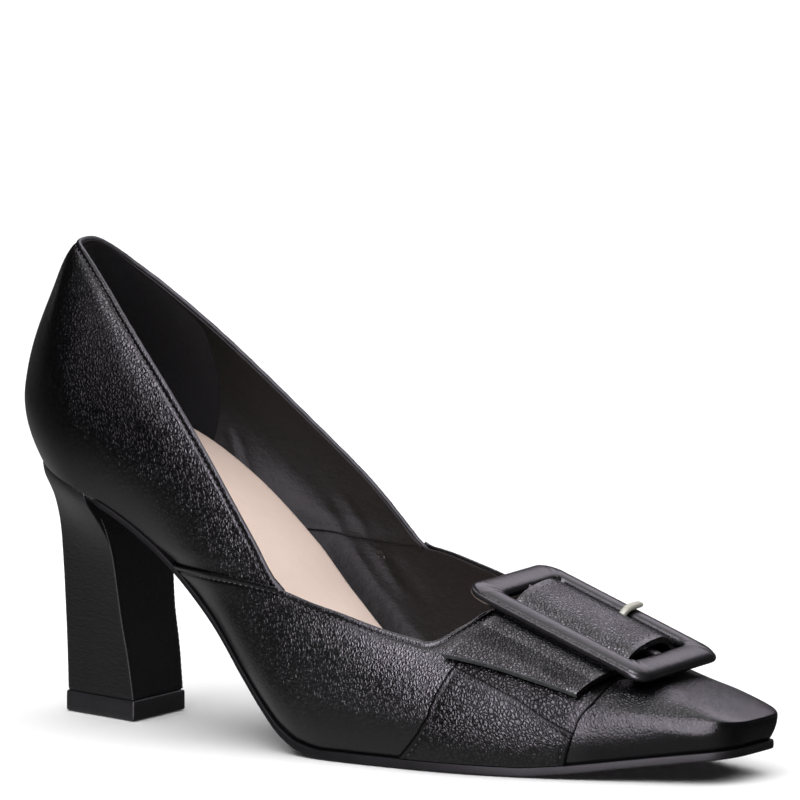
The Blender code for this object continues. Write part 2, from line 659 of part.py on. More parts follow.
def main():
    for obj in list(bpy.data.objects):
        bpy.data.objects.remove(obj, do_unlink=True)
    leather = (0.028, 0.026, 0.028)
    build_upper(material("upper_leather", leather, 0.42))
    build_insole(material("insole_sock", (0.76, 0.60, 0.52), 0.45))
    build_outsole(material("outsole_black", (0.020, 0.019, 0.021), 0.45))
    build_heel(material("heel_leather", leather, 0.5))
    build_lift(material("lift_rubber", (0.018, 0.017, 0.019), 0.55))
    build_strap(material("strap_leather", leather, 0.42))
    build_buckle(material("buckle_leather", leather, 0.35))
    build_prong(material("prong_metal", (0.62, 0.60, 0.52), 0.3, 1.0))


main()
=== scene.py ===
"""Looks of a heeled court shoe for the right foot: grained black leather panels sewn over
the last, a dark lining with a suede heel grip, a pale sock, a covered block heel, and a
wide strap held in a leather-covered buckle. Sizes are in millimetres in the shoe's own
directions: X from the heel to the toe, Y to the inner side of the foot, Z up."""
from collections import namedtuple
from math import cos, pi, radians, sin

import bpy
import numpy as np
from mathutils import Matrix, Vector


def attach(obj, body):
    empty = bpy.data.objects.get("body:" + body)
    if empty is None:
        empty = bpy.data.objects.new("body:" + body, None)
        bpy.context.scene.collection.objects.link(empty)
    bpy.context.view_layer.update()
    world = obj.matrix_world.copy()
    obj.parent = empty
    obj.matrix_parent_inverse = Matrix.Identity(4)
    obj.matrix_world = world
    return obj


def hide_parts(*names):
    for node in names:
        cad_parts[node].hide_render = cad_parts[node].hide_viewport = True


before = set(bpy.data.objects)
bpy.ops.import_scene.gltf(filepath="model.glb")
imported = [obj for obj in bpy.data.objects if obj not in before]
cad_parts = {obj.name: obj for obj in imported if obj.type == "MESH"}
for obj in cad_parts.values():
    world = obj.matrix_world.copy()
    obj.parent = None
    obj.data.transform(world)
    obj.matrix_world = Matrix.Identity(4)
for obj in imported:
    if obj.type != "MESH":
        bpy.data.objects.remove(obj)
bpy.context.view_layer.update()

MM = 0.001
LENGTH = 229.5
CENTRE = np.array((114.75, 0.5, 0.0))
WALL, GAP, ROOM_FOR_CURVE = 1.8, 0.3, 1.22

# ---- the last: half widths, top line, widest line, tuck to the sole, fullness, ridge
Section = namedtuple("Section", "at lateral medial crest belly tuck_lat tuck_med full ridge")
SECTIONS = (
    Section(0.0,   29.0, 29.0, 152.0, 16.6, 5.8, 5.8, 1.50, 0.0),
    Section(10.5,  29.3, 29.3, 148.6, 17.2, 4.9, 5.0, 1.50, 0.0),
    Section(21.5,  29.5, 29.5, 134.5, 17.7, 3.7, 4.1, 1.58, 0.0),
    Section(29.5,  29.7, 29.7, 126.5, 18.0, 3.5, 4.3, 1.68, 0.0),
    Section(47.5,  30.0, 29.5, 118.0, 17.4, 3.8, 6.2, 1.75, 0.4),
    Section(68.5,  32.0, 31.0, 105.0, 16.1, 4.4, 8.8, 2.00, 0.8),
    Section(83.5,  34.6, 33.4, 95.0,  15.0, 4.5, 9.5, 2.12, 1.0),
    Section(100.5, 37.8, 36.6, 83.0,  13.9, 3.8, 8.0, 2.15, 1.4),
    Section(117.5, 39.4, 38.2, 68.0,  12.8, 2.9, 5.4, 2.10, 1.7),
    Section(133.5, 39.6, 38.6, 54.2,  12.3, 2.7, 3.6, 2.02, 1.9),
    Section(148.5, 39.0, 38.2, 44.6,  11.9, 2.6, 2.9, 2.00, 2.0),
    Section(163.5, 36.8, 36.0, 38.4,  11.1, 2.5, 2.7, 2.10, 1.8),
    Section(178.5, 32.8, 31.7, 32.8,  10.2, 2.5, 2.6, 2.25, 1.4),
    Section(194.5, 27.6, 26.0, 27.2,  9.0,  2.3, 2.3, 2.38, 0.9),
    Section(206.5, 23.0, 21.4, 24.0,  7.9,  2.2, 2.2, 2.55, 0.5),
    Section(217.5, 19.0, 17.2, 21.0,  7.0,  2.1, 2.1, 2.95, 0.2),
    Section(229.5, 15.0, 12.8, 17.0,  6.0,  2.0, 2.0, 3.70, 0.0),
)
SoleRow = namedtuple("SoleRow", "at under arch thick insole margin")
SOLE = (
    SoleRow(0.0,   70.2, 0.8, 1.4, 6.0, 0.25),
    SoleRow(13.5,  68.0, 2.5, 1.5, 6.4, 0.25),
    SoleRow(33.5,  61.3, 4.6, 1.6, 6.6, 0.3),
    SoleRow(53.5,  50.0, 5.0, 1.8, 6.6, 0.45),
    SoleRow(73.5,  32.6, 5.0, 2.0, 6.4, 0.6),
    SoleRow(85.5,  18.4, 4.9, 2.1, 6.0, 0.7),
    SoleRow(93.5,  9.8,  3.9, 2.2, 5.6, 0.8),
    SoleRow(99.5,  4.6,  2.8, 2.3, 5.3, 0.9),
    SoleRow(106.5, 1.2,  1.6, 2.4, 5.0, 1.0),
    SoleRow(114.5, 0.0,  0.6, 2.5, 4.8, 1.0),
    SoleRow(121.5, 0.0,  0.0, 2.6, 4.6, 1.0),
    SoleRow(171.5, 0.0,  0.0, 2.6, 4.0, 1.0),
    SoleRow(183.5, 1.0,  0.0, 2.5, 3.8, 1.0),
    SoleRow(199.5, 3.2,  0.0, 2.4, 3.6, 1.0),
    SoleRow(215.5, 5.4,  0.0, 2.4, 3.4, 1.0),
    SoleRow(229.5, 7.2,  0.0, 2.3, 3.2, 1.0),
)
Edge = namedtuple("Edge", "at lateral medial")
TOPLINE = (
    Edge(8.0,   131.6, 131.6),
    Edge(11.5,  131.2, 131.1),
    Edge(15.5,  129.9, 127.9),
    Edge(19.5,  127.7, 123.3),
    Edge(23.5,  124.9, 119.7),
    Edge(31.5,  117.8, 113.5),
    Edge(44.5,  105.8, 102.8),
    Edge(61.5,  89.2,  87.9),
    Edge(77.2,  72.0,  74.2),
    Edge(85.0,  62.6,  67.2),
    Edge(92.9,  52.9,  58.6),
    Edge(99.6,  45.2,  50.8),
    Edge(102.0, 44.3,  48.8),
    Edge(106.9, 42.8,  47.6),
    Edge(119.4, 39.8,  45.2),
    Edge(131.2, 36.6,  42.8),
    Edge(142.0, 34.3,  40.4),
)
THROAT_START, THROAT_END, THROAT_ROUND = 142.0, 154.0, 2.3
HEEL_AXIS, TOE_AXIS = 29.5, 212.5
HEEL_CURVE_FROM, HEEL_CURVE = 28.5, 2.15
TOE_CURVE_FROM, TOE_CURVE = 214.5, 4.2

# seam of the vamp over the quarter: height along the shoe on each side, where its wing
# starts at the sole and where it meets the topline
Seam = namedtuple("Seam", "at lateral medial")
WING_SEAM = (
    Seam(56.0,  47.6, 50.6),
    Seam(62.0,  47.0, 49.9),
    Seam(70.0,  47.1, 49.5),
    Seam(79.0,  46.9, 48.9),
    Seam(88.0,  46.4, 48.4),
    Seam(95.0,  45.7, 48.2),
    Seam(102.0, 44.7, 48.3),
    Seam(108.0, 43.6, 48.2),
)
WING_TIP = {-1: 59.6, 1: 62.4}
WING_TOP = {-1: 99.9, 1: 101.9}
TOPLINE_FALL = {-1: -1.15, 1: -1.2}   # slope of the quarter's edge where it dives under

# saddle panel over the forefoot: rear and front edge for a level round the section
SaddleRow = namedtuple("SaddleRow", "level rear front")
SADDLE = (
    SaddleRow(0.02, 139.3, 185.7),
    SaddleRow(0.24, 142.2, 186.6),
    SaddleRow(0.60, 146.2, 188.0),
    SaddleRow(1.00, 149.7, 189.7),
    SaddleRow(1.35, 154.9, 193.5),
    SaddleRow(1.65, 157.8, 194.2),
    SaddleRow(2.00, 159.0, 194.6),
)

# heel block
HeelRow = namedtuple("HeelRow", "at back front half wedge")
HEEL = (
    HeelRow(0.00, 6.2,  31.0, 25.2, 0.0),
    HeelRow(0.04, 6.6,  31.6, 22.6, 0.1),
    HeelRow(0.09, 7.2,  32.0, 20.0, 0.3),
    HeelRow(0.18, 8.2,  32.3, 17.3, 0.6),
    HeelRow(0.29, 9.0,  32.7, 15.3, 0.85),
    HeelRow(0.42, 9.5,  33.1, 14.0, 1.0),
    HeelRow(0.60, 9.9,  34.1, 13.1, 1.0),
    HeelRow(0.80, 10.3, 36.0, 12.6, 1.0),
    HeelRow(1.00, 10.5, 37.3, 12.1, 1.0),
)
HEEL_ROUND, WEDGE_TAPER, WEDGE_CORNER = 2.15, 0.54, 0.90
LIFT_HEIGHT, LIFT_PROUD = 5.4, 0.5

# buckle, strap and prong
BUCKLE_AT = np.array((177.0, 0.0, 37.5))
BUCKLE_PITCH, BUCKLE_ROLL = 19.9, -2.1
BUCKLE_LONG, BUCKLE_WIDE = 60.2, 39.8
BUCKLE_BAR, BUCKLE_END, BUCKLE_THICK = 6.5, 8.9, 3.6
BUCKLE_CORNER, BUCKLE_INNER_CORNER = 5.4, 2.2
CENTRE_BAR_RADIUS, CENTRE_BAR_DROP = 1.1, 0.0
STRAP_THICK, STRAP_HALF, STRAP_SHIFT = 1.9, 18.8, 0.4
STRAP_SWEEP = 0.5
STRAP_END_REAR, STRAP_END_FRONT = 32.8, 26.8
STRAP_LIFT = {-1: 0.6, 1: 0.4}
BLEND_FROM, BLEND_TO = 18.5, 26.0
# middle of the strap in the frame: under the near side, over the bar, under the far side
ArchRow = namedtuple("ArchRow", "at up")
STRAP_ARCH = (
    ArchRow(-15.6, -3.2), ArchRow(-13.6, -2.95), ArchRow(-11.8, -1.5), ArchRow(-10.0, 0.35), ArchRow(-7.0, 1.75),
    ArchRow(-2.0, 2.85), ArchRow(2.5, 3.1), ArchRow(6.7, 2.1), ArchRow(9.8, 0.2), ArchRow(11.8, -1.7),
    ArchRow(13.6, -2.95), ArchRow(15.6, -3.2),
)


# ---- curves through the tables
def hermite(x, y, slope):
    def at(p):
        p = np.clip(np.asarray(p, float), x[0], x[-1])
        i = np.clip(np.searchsorted(x, p) - 1, 0, len(x) - 2)
        h = x[i + 1] - x[i]
        t = (p - x[i]) / h
        return ((1 + 2 * t) * (1 - t) ** 2 * y[i] + t * (1 - t) ** 2 * h * slope[i]
                + t * t * (3 - 2 * t) * y[i + 1] + t * t * (t - 1) * h * slope[i + 1])
    return at


def smooth_curve(places, values):
    """Natural cubic through the rows."""
    x, y = np.array(places, float), np.array(values, float)
    n, h = len(x), np.diff(x)
    a, r = np.eye(n), np.zeros(n)
    for i in range(1, n - 1):
        a[i, i - 1], a[i, i], a[i, i + 1] = h[i - 1], 2 * (h[i - 1] + h[i]), h[i]
        r[i] = 6 * ((y[i + 1] - y[i]) / h[i] - (y[i] - y[i - 1]) / h[i - 1])
    m = np.linalg.solve(a, r)
    d = np.diff(y) / h
    slope = np.append(d - h * (2 * m[:-1] + m[1:]) / 6, d[-1] + h[-1] * (2 * m[-1] + m[-2]) / 6)
    return hermite(x, y, slope)


def steady_curve(places, values):
    """Cubic that never swings past its rows."""
    x, y = np.array(places, float), np.array(values, float)
    h = np.diff(x)
    d = np.diff(y) / h
    m = np.zeros(len(x))
    m[0], m[-1] = d[0], d[-1]
    for i in range(1, len(x) - 1):
        if d[i - 1] * d[i] > 0:
            p, q = 2 * h[i] + h[i - 1], h[i] + 2 * h[i - 1]
            m[i] = (p + q) / (p / d[i - 1] + q / d[i])
    return hermite(x, y, m)


def column(rows, name, kind=smooth_curve, at="at"):
    return kind([getattr(r, at) for r in rows], [getattr(r, name) for r in rows])


LATERAL, MEDIAL = column(SECTIONS, "lateral"), column(SECTIONS, "medial")
CREST, BELLY = column(SECTIONS, "crest"), column(SECTIONS, "belly")
TUCK = {-1: column(SECTIONS, "tuck_lat"), 1: column(SECTIONS, "tuck_med")}
FULL, RIDGE = column(SECTIONS, "full"), column(SECTIONS, "ridge")
UNDER, ARCH = column(SOLE, "under", steady_curve), column(SOLE, "arch", steady_curve)
THICK, INSOLE = column(SOLE, "thick", steady_curve), column(SOLE, "insole", steady_curve)
MARGIN = column(SOLE, "margin", steady_curve)
EDGE = {-1: column(TOPLINE, "lateral"), 1: column(TOPLINE, "medial")}
SEAM = {-1: column(WING_SEAM, "lateral"), 1: column(WING_SEAM, "medial")}
SADDLE_REAR = column(SADDLE, "rear", steady_curve, "level")
SADDLE_FRONT = column(SADDLE, "front", steady_curve, "level")
ARCH_HEIGHT = column(STRAP_ARCH, "up", steady_curve)


def ease(t):
    t = np.clip(t, 0.0, 1.0)
    return t * t * (3 - 2 * t)


def half_width(x, medial):
    x = np.clip(x, 0.0, LENGTH)
    w = np.where(medial, MEDIAL(x), LATERAL(x))
    back = np.clip((HEEL_CURVE_FROM - x) / HEEL_CURVE_FROM, 0.0, 1.0)
    front = np.clip((x - TOE_CURVE_FROM) / (LENGTH - TOE_CURVE_FROM), 0.0, 1.0)
    return w * (1 - back ** HEEL_CURVE) ** (1 / HEEL_CURVE) * (1 - front ** TOE_CURVE) ** (1 / TOE_CURVE)


def underside(x, y):
    return UNDER(x) + ARCH(x) * ease((y + 25) / 50)


def feather(x, y):
    """Top of the sole, where the upper meets it."""
    return underside(x, y) + THICK(x)


class Half:
    """Upright half sections on one side: straight across the foot, or fanned at heel and toe."""

    def __init__(self, axis, angle, side):
        axis, angle = np.broadcast_arrays(np.asarray(axis, float), np.asarray(angle, float))
        self.axis, self.side = axis, side
        self.y0 = RIDGE(axis)
        straight = np.abs(angle - 90.0) < 1e-9
        a = np.radians(angle)
        self.c, self.s = np.where(straight, 0.0, np.cos(a)), np.sin(a) * side
        low, high = np.zeros(axis.shape), np.full(axis.shape, 80.0)
        if not straight.all():
            for _ in range(48):
                mid = (low + high) / 2
                x, y = axis + mid * self.c, self.y0 + mid * self.s
                inside = (x > 0) & (x < LENGTH) & (np.abs(y) <= half_width(x, y > 0) + 1e-9)
                low, high = np.where(inside, mid, low), np.where(inside, high, mid)
        self.reach = np.where(straight, half_width(axis, side > 0) - side * self.y0, low)
        edge = np.clip(axis + self.reach * self.c, 0.0, LENGTH)
        self.tuck, self.belly = TUCK[side](edge), BELLY(edge)

    def plan(self, rho):
        return self.axis + rho * self.c, self.y0 + rho * self.s

    def rho_low(self, level):
        return self.reach - self.tuck * (1 - level) ** 2

    def point(self, level):
        """Outer face: 0 at the sole, 1 at the widest line, 2 on the top line."""
        level = np.asarray(level, float)
        a = np.clip(level - 1, 0, 1) * pi / 2
        full = FULL(self.axis + self.reach * self.c * np.cos(a))
        rho = np.where(level <= 1, self.rho_low(np.minimum(level, 1)),
                       self.reach * np.maximum(np.cos(a), 0.0) ** (2 / full))
        x, y = self.plan(rho)
        low = feather(x, y) + GAP
        mid = low + self.belly
        z = np.where(level <= 1, low + self.belly * level, mid + (CREST(x) - mid) * np.sin(a) ** (2 / full))
        return np.stack([x, y, z], -1)

    def level_at(self, y):
        share = np.clip(np.abs(y - self.y0) / self.reach, 0.0, 1.0)
        return 1 + np.arccos(share ** (FULL(self.axis) / 2)) * 2 / pi

    def level_where(self, below, low=0.0):
        """Highest level whose points pass the test."""
        lo, hi = np.full(self.axis.shape, low), np.full(self.axis.shape, 2.0)
        for _ in range(40):
            mid = (lo + hi) / 2
            p = self.point(mid)
            ok = below(p)
            lo, hi = np.where(ok, mid, lo), np.where(ok, hi, mid)
        return lo

    def collar_edge(self, x):
        """Height of the collar's edge: the two sides run into each other round the back."""
        meet = np.where(self.c < 0, 0.5 * (1 - ease(np.abs(self.s) / 0.7)), 0.0)
        return EDGE[self.side](x) * (1 - meet) + EDGE[-self.side](x) * meet

    def collar_level(self):
        level = self.level_where(lambda p: p[..., 2] < self.collar_edge(p[..., 0]), 1.0)
        t = np.clip((self.axis - THROAT_START) / (THROAT_END - THROAT_START), 0.0, 1.0)
        if (t > 0).any():
            start = Half(np.array([THROAT_START]), 90.0, self.side)
            edge = start.point(start.collar_level())
            share = np.abs(edge[0, 1] - start.y0[0]) / start.reach[0] * (1 - t ** THROAT_ROUND) ** (1 / THROAT_ROUND)
            closing = self.level_at(self.y0 + self.side * self.reach * share)
            level = np.where((t > 0) & (self.c == 0), closing, level)
        return np.where((t >= 1) | (self.c > 0), 2.0, level)

    def side_room(self, level):
        lean = 2 * self.tuck / self.belly * (1 - level)
        x, y = self.plan(self.rho_low(level))
        fall = (feather(x + 1, y) - feather(x - 1, y)) / 2
        return (WALL + GAP) * np.sqrt(1 + lean * lean * (1 + fall * fall)) * ROOM_FOR_CURVE


# ---- nets of quads
class Sheet:
    """A net of quads in millimetres, welded where its points meet."""

    def __init__(self):
        self.v, self.f = np.zeros((0, 3)), np.zeros((0, 4), int)

    def add(self, grid, flip=False, closed=False):
        n, m = grid.shape[:2]
        ids = np.arange(n * m).reshape(n, m) + len(self.v)
        self.v = np.concatenate([self.v, grid.reshape(-1, 3)])
        across = np.concatenate([ids, ids[:, :1]], 1) if closed else ids
        q = np.stack([across[:-1, :-1], across[1:, :-1], across[1:, 1:], across[:-1, 1:]], -1).reshape(-1, 4)
        self.f = np.concatenate([self.f, q[:, ::-1] if flip else q])
        return ids

    def weld(self, *grids, tol=0.002):
        key = np.round(self.v / tol).astype(np.int64)
        _, first, inverse = np.unique(key, axis=0, return_index=True, return_inverse=True)
        inverse = inverse.ravel()
        self.v = self.v[first]
        f = inverse[self.f]
        distinct = np.array([len(set(q)) for q in f.tolist()])
        self.f = f[distinct > 2]
        return [inverse[g] for g in grids]

    def normals(self):
        return normals_of(self.v, self.f)


def normals_of(v, f):
    n = np.zeros_like(v)
    a, b, c, d = (v[f[:, k]] for k in range(4))
    face = np.cross(c - a, d - b)
    for k in range(4):
        np.add.at(n, f[:, k], face)
    return n / np.maximum(np.linalg.norm(n, axis=1, keepdims=True), 1e-12)


def thicken(v, f, n, thick, bulge=None, square=1.0, steps=6):
    """Closed body from an open net: outer face, inner face, and a rounded rim.
    Returns the points, the faces, the source point of each point and the kind of each face."""
    count = len(v)
    thick = np.broadcast_to(np.asarray(thick, float), (count,))[:, None]
    ends = np.concatenate([np.stack([f[:, k], f[:, (k + 1) % 4]], -1) for k in range(4)])
    ends = ends[ends[:, 0] != ends[:, 1]]
    code, back = ends[:, 0] * count + ends[:, 1], ends[:, 1] * count + ends[:, 0]
    rim = ends[~np.isin(code, back)]
    run = v[rim[:, 1]] - v[rim[:, 0]]
    run = run / np.maximum(np.linalg.norm(run, axis=1, keepdims=True), 1e-12)
    tangent = np.zeros_like(v)
    np.add.at(tangent, rim[:, 0], run)
    np.add.at(tangent, rim[:, 1], run)
    out = np.cross(tangent, n)
    out = out / np.maximum(np.linalg.norm(out, axis=1, keepdims=True), 1e-12)
    edge = np.unique(rim)
    place = np.full(count, -1)
    place[edge] = np.arange(len(edge))
    points, source = [v, v - n * thick], [np.arange(count), np.arange(count)]
    rows = [edge]
    width = thick[edge] / 2 if bulge is None else np.full((len(edge), 1), bulge)
    for k in range(1, steps):
        a = pi * k / steps
        up, side = np.sign(cos(a)) * abs(cos(a)) ** square, sin(a) ** square
        points.append(v[edge] + n[edge] * thick[edge] / 2 * (up - 1) + out[edge] * width * side)
        source.append(edge)
        rows.append(2 * count + (k - 1) * len(edge) + np.arange(len(edge)))
    rows.append(edge + count)
    faces, kinds = [f, f[:, ::-1] + count], [np.zeros(len(f), int), np.ones(len(f), int)]
    a, b = place[rim[:, 0]], place[rim[:, 1]]
    for low, high in zip(rows, rows[1:]):
        faces.append(np.stack([low[b], low[a], high[a], high[b]], -1))
        kinds.append(np.full(len(rim), 2))
    return np.concatenate(points), np.concatenate(faces), np.concatenate(source), np.concatenate(kinds)


def dense(line, step=0.4):
    line = np.asarray(line, float)
    run = np.append(0.0, np.cumsum(np.linalg.norm(np.diff(line, axis=0), axis=1)))
    keep = np.append(True, np.diff(run) > 1e-9)
    at = np.linspace(0, run[-1], max(int(run[-1] / step), 2))
    return np.stack([np.interp(at, run[keep], line[keep, k]) for k in range(3)], -1)


def distance(v, line):
    line, out = dense(line), []
    for part in np.array_split(v, max(len(v) // 3000, 1)):
        out.append(np.sqrt(((part[:, None] - line[None]) ** 2).sum(-1).min(1)))
    return np.concatenate(out)


def section_rows(half, low, high, fine, coarse, trim=0.0):
    """Levels of each section from the low to the high end, close together near the high end."""
    share = np.linspace(0, 1, 140)[None]
    level = low + (high - low) * share
    p = half.point(level)
    run = np.linalg.norm(np.diff(p, axis=1), axis=-1)
    from_top = np.concatenate([np.cumsum(run[:, ::-1], 1)[:, ::-1], np.zeros((len(run), 1))], 1)
    out = []
    for lv, d in zip(level, from_top):
        total = d[0]
        cut = min(trim, total * 0.3)
        near = cut + np.array(fine) * min(1.0, 0.45 * (total - cut) / fine[-1])
        at = np.append(near, np.linspace(near[-1], total, coarse + 1)[1:])[::-1]
        out.append(np.interp(at, d[::-1], lv[::-1]))
    return np.array(out)


FINE = (0.0, 0.2, 0.45, 0.75, 1.05, 1.35, 1.65, 1.95, 2.25, 2.6, 3.0, 3.5, 4.2, 5.2, 6.4)
COARSE = 36


# ---- making pieces
def placed(v):
    return (np.asarray(v, float) - CENTRE) * MM


def piece(name, v, f, mats, values=None, kinds=None, smooth=True, stands_for=()):
    faces, keep = [], []
    for i, q in enumerate(f.tolist() if isinstance(f, np.ndarray) else f):
        q = tuple(dict.fromkeys(q))
        if len(q) > 2:
            faces.append(q)
            keep.append(i)
    mesh = bpy.data.meshes.new(name)
    mesh.from_pydata(placed(v).tolist(), [], faces)
    mesh.polygons.foreach_set("use_smooth", [smooth] * len(mesh.polygons))
    for key, value in (values or {}).items():
        mesh.attributes.new(key, "FLOAT", "POINT").data.foreach_set("value", np.asarray(value, np.float32))
    for m in mats if isinstance(mats, (list, tuple)) else [mats]:
        mesh.materials.append(m)
    if kinds is not None:
        mesh.polygons.foreach_set("material_index", np.asarray(kinds)[keep].astype(np.int32))
    mesh.update()
    obj = bpy.data.objects.new(name, mesh)
    bpy.context.scene.collection.objects.link(obj)
    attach(obj, "root")
    if stands_for:
        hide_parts(*stands_for)
    return obj


# ---- materials
class Nodes:
    def __init__(self, name):
        self.mat = bpy.data.materials.new(name)
        self.mat.use_nodes = True
        self.tree = self.mat.node_tree
        self.shader = self.tree.nodes["Principled BSDF"]
        self.coord = self.tree.nodes.new("ShaderNodeTexCoord").outputs["Object"]

    def new(self, kind, **inputs):
        node = self.tree.nodes.new(kind)
        for key, value in inputs.items():
            socket = node.inputs[int(key[1:])] if key[0] == "i" and key[1:].isdigit() else node.inputs[key.replace("_", " ")]
            self.put(socket, value)
        return node

    def put(self, socket, value):
        if isinstance(value, bpy.types.NodeSocket):
            self.tree.links.new(value, socket)
        else:
            socket.default_value = value

    def math(self, operation, a, b=0.0):
        node = self.new("ShaderNodeMath", i0=a, i1=b)
        node.operation = operation
        return node.outputs[0]

    def ramp(self, value, low, high, to_low=0.0, to_high=1.0):
        node = self.new("ShaderNodeMapRange", Value=value)
        node.interpolation_type = "SMOOTHSTEP"
        for key, v in (("From Min", low), ("From Max", high), ("To Min", to_low), ("To Max", to_high)):
            self.put(node.inputs[key], v)
        return node.outputs[0]

    def mapped(self, scale):
        return self.new("ShaderNodeMapping", Vector=self.coord, Scale=scale).outputs[0]

    def noise(self, vector, scale, detail=3.0, rough=0.5):
        return self.new("ShaderNodeTexNoise", Vector=vector, Scale=scale, Detail=detail, Roughness=rough)

    def attribute(self, name):
        node = self.tree.nodes.new("ShaderNodeAttribute")
        node.attribute_name = name
        return node.outputs["Fac"]

    def mix(self, share, a, b):
        node = self.tree.nodes.new("ShaderNodeMix")
        node.data_type = "RGBA"
        self.put(node.inputs[0], share)
        self.put(node.inputs[6], a)
        self.put(node.inputs[7], b)
        return node.outputs[2]

    def set(self, **inputs):
        for key, value in inputs.items():
            self.put(self.shader.inputs[key.replace("_", " ")], value)

    def bump(self, height, distance, strength=1.0):
        node = self.new("ShaderNodeBump", Height=height, Distance=distance, Strength=strength)
        self.put(self.shader.inputs["Normal"], node.outputs[0])


def colour(r, g, b):
    return (r, g, b, 1.0)


def grained_leather(name, base, light, rough, pebble, depth, lean=0.0, fine=0.03, crack_shade=0.40):
    """Black leather with domed pebbles. pebble is the size of a pebble in millimetres along X, Y
    and Z, lean turns its length towards the toe, and the last argument says how far the sheen
    is dimmed in the cracks, as painted shade. The grain attribute says how much of it the
    stretched leather keeps. The other attribute is painted shade and painted highlight: above
    zero it dims the sheen, below zero it brightens it."""
    m = Nodes(name)
    turned = m.new("ShaderNodeMapping", Vector=m.coord, Rotation=(0.0, radians(lean), 0.0)).outputs[0]
    cells = m.new("ShaderNodeMapping", Vector=turned, Scale=tuple(1000.0 / p for p in pebble)).outputs[0]
    bend = m.noise(cells, 0.6, 2.0)
    shift = m.new("ShaderNodeVectorMath", i0=bend.outputs["Color"], i1=(0.5, 0.5, 0.5))
    shift.operation = "SUBTRACT"
    shift2 = m.new("ShaderNodeVectorMath", i0=shift.outputs[0], i1=(0.9, 0.9, 0.9))
    shift2.operation = "MULTIPLY"
    where = m.new("ShaderNodeVectorMath", i0=cells, i1=shift2.outputs[0])
    where.operation = "ADD"
    crack = m.new("ShaderNodeTexVoronoi", Vector=where.outputs[0], Scale=1.0, Randomness=0.9)
    crack.feature = "DISTANCE_TO_EDGE"
    small = m.new("ShaderNodeTexVoronoi", Vector=where.outputs[0], Scale=1.9, Randomness=1.0)
    small.feature = "DISTANCE_TO_EDGE"
    dome = m.ramp(crack.outputs["Distance"], 0.0, 0.40)
    knob = m.ramp(small.outputs["Distance"], 0.0, 0.30)
    grain = m.attribute("grain")
    height = m.math("ADD", m.math("MULTIPLY", dome, 0.72), m.math("MULTIPLY", knob, 0.28))
    pores = m.noise(m.coord, 3100.0, 4.0, 0.6).outputs[0]
    broad = m.noise(m.coord, 110.0, 3.0).outputs[0]
    keep = m.math("MULTIPLY", grain, m.ramp(broad, 0.30, 0.66, 0.80, 1.0))
    total = m.math("ADD", m.math("MULTIPLY", height, keep), m.math("MULTIPLY", pores, fine))
    m.bump(total, depth)
    # base colour darker down in the cracks than on the pebble tops: painted shade in the cracks
    m.set(Base_Color=m.mix(m.math("MULTIPLY", height, keep), base, light))
    worn = m.math("MULTIPLY", m.math("SUBTRACT", broad, 0.5), 0.06)
    m.set(Roughness=m.math("ADD", rough, worn))
    # painted shade in the cracks: the sheen is dimmed where they are deep
    deep = m.ramp(crack.outputs["Distance"], 0.03, 0.26, 1.0, 0.0)
    crack_painted_shade = m.math("MULTIPLY", m.math("MULTIPLY", deep, keep), crack_shade)
    # painted shade and painted highlight from the attribute, dimming or brightening the sheen
    painted_light_factor = m.math("SUBTRACT", 1.0, m.attribute("painted_shade_and_light"))
    m.set(Specular_IOR_Level=m.math("MULTIPLY", m.math("SUBTRACT", 0.5, crack_painted_shade), painted_light_factor))
    return m.mat


def smooth_leather(name, base, light, rough, wrinkle, depth, fine_scale=1500.0, coat=0.0, shine=0.5):
    """Plain leather: fine pores and faint wrinkles that run along one direction."""
    m = Nodes(name)
    lines = m.noise(m.mapped(tuple(1000.0 / w for w in wrinkle)), 1.0, 5.0, 0.62).outputs[0]
    pores = m.noise(m.coord, fine_scale, 4.0, 0.6).outputs[0]
    broad = m.noise(m.coord, 70.0, 3.0).outputs[0]
    total = m.math("ADD", lines, m.math("MULTIPLY", pores, 0.35))
    m.bump(total, depth)
    m.set(Base_Color=m.mix(m.ramp(m.math("ADD", m.math("MULTIPLY", lines, 0.5), m.math("MULTIPLY", broad, 0.5)), 0.3, 0.7), base, light))
    m.set(Roughness=m.math("ADD", rough - 0.07, m.math("MULTIPLY", broad, 0.14)))
    m.set(Specular_IOR_Level=shine, Coat_Weight=coat, Coat_Roughness=0.25)
    return m.mat


def sock_leather(name, rear, front, rough, wrinkle):
    """Pale sock, darker towards the heel and lighter towards the toe: painted shade at the heel and painted light at
    the front.
    """
    m = Nodes(name)
    lines = m.noise(m.mapped(tuple(1000.0 / w for w in wrinkle)), 1.0, 5.0, 0.62).outputs[0]
    pores = m.noise(m.coord, 1100.0, 4.0, 0.6).outputs[0]
    m.bump(m.math("ADD", lines, m.math("MULTIPLY", pores, 0.35)), 0.00006)
    along = m.new("ShaderNodeSeparateXYZ", Vector=m.coord).outputs[0]
    # painted shade towards the heel, painted light towards the toe, broken by the wrinkle lines
    share = m.math("ADD", m.ramp(along, -0.07, 0.012), m.math("MULTIPLY", m.math("SUBTRACT", lines, 0.5), 0.25))
    m.set(Base_Color=m.mix(share, rear, front), Specular_IOR_Level=0.35)
    m.set(Roughness=m.math("ADD", rough - 0.05, m.math("MULTIPLY", pores, 0.10)))
    return m.mat


def suede(name, base, light):
    m = Nodes(name)
    nap = m.noise(m.coord, 2600.0, 5.0, 0.7).outputs[0]
    stroke = m.noise(m.mapped((260.0, 260.0, 160.0)), 1.0, 3.0).outputs[0]
    m.bump(nap, 0.0003, 0.8)
    m.set(Base_Color=m.mix(m.ramp(m.math("ADD", m.math("MULTIPLY", nap, 0.5), m.math("MULTIPLY", stroke, 0.5)), 0.35, 0.65), base, light))
    m.set(Roughness=m.ramp(stroke, 0.3, 0.7, 0.9, 1.0), Specular_IOR_Level=0.15, Sheen_Weight=0.06, Sheen_Roughness=0.5)
    return m.mat


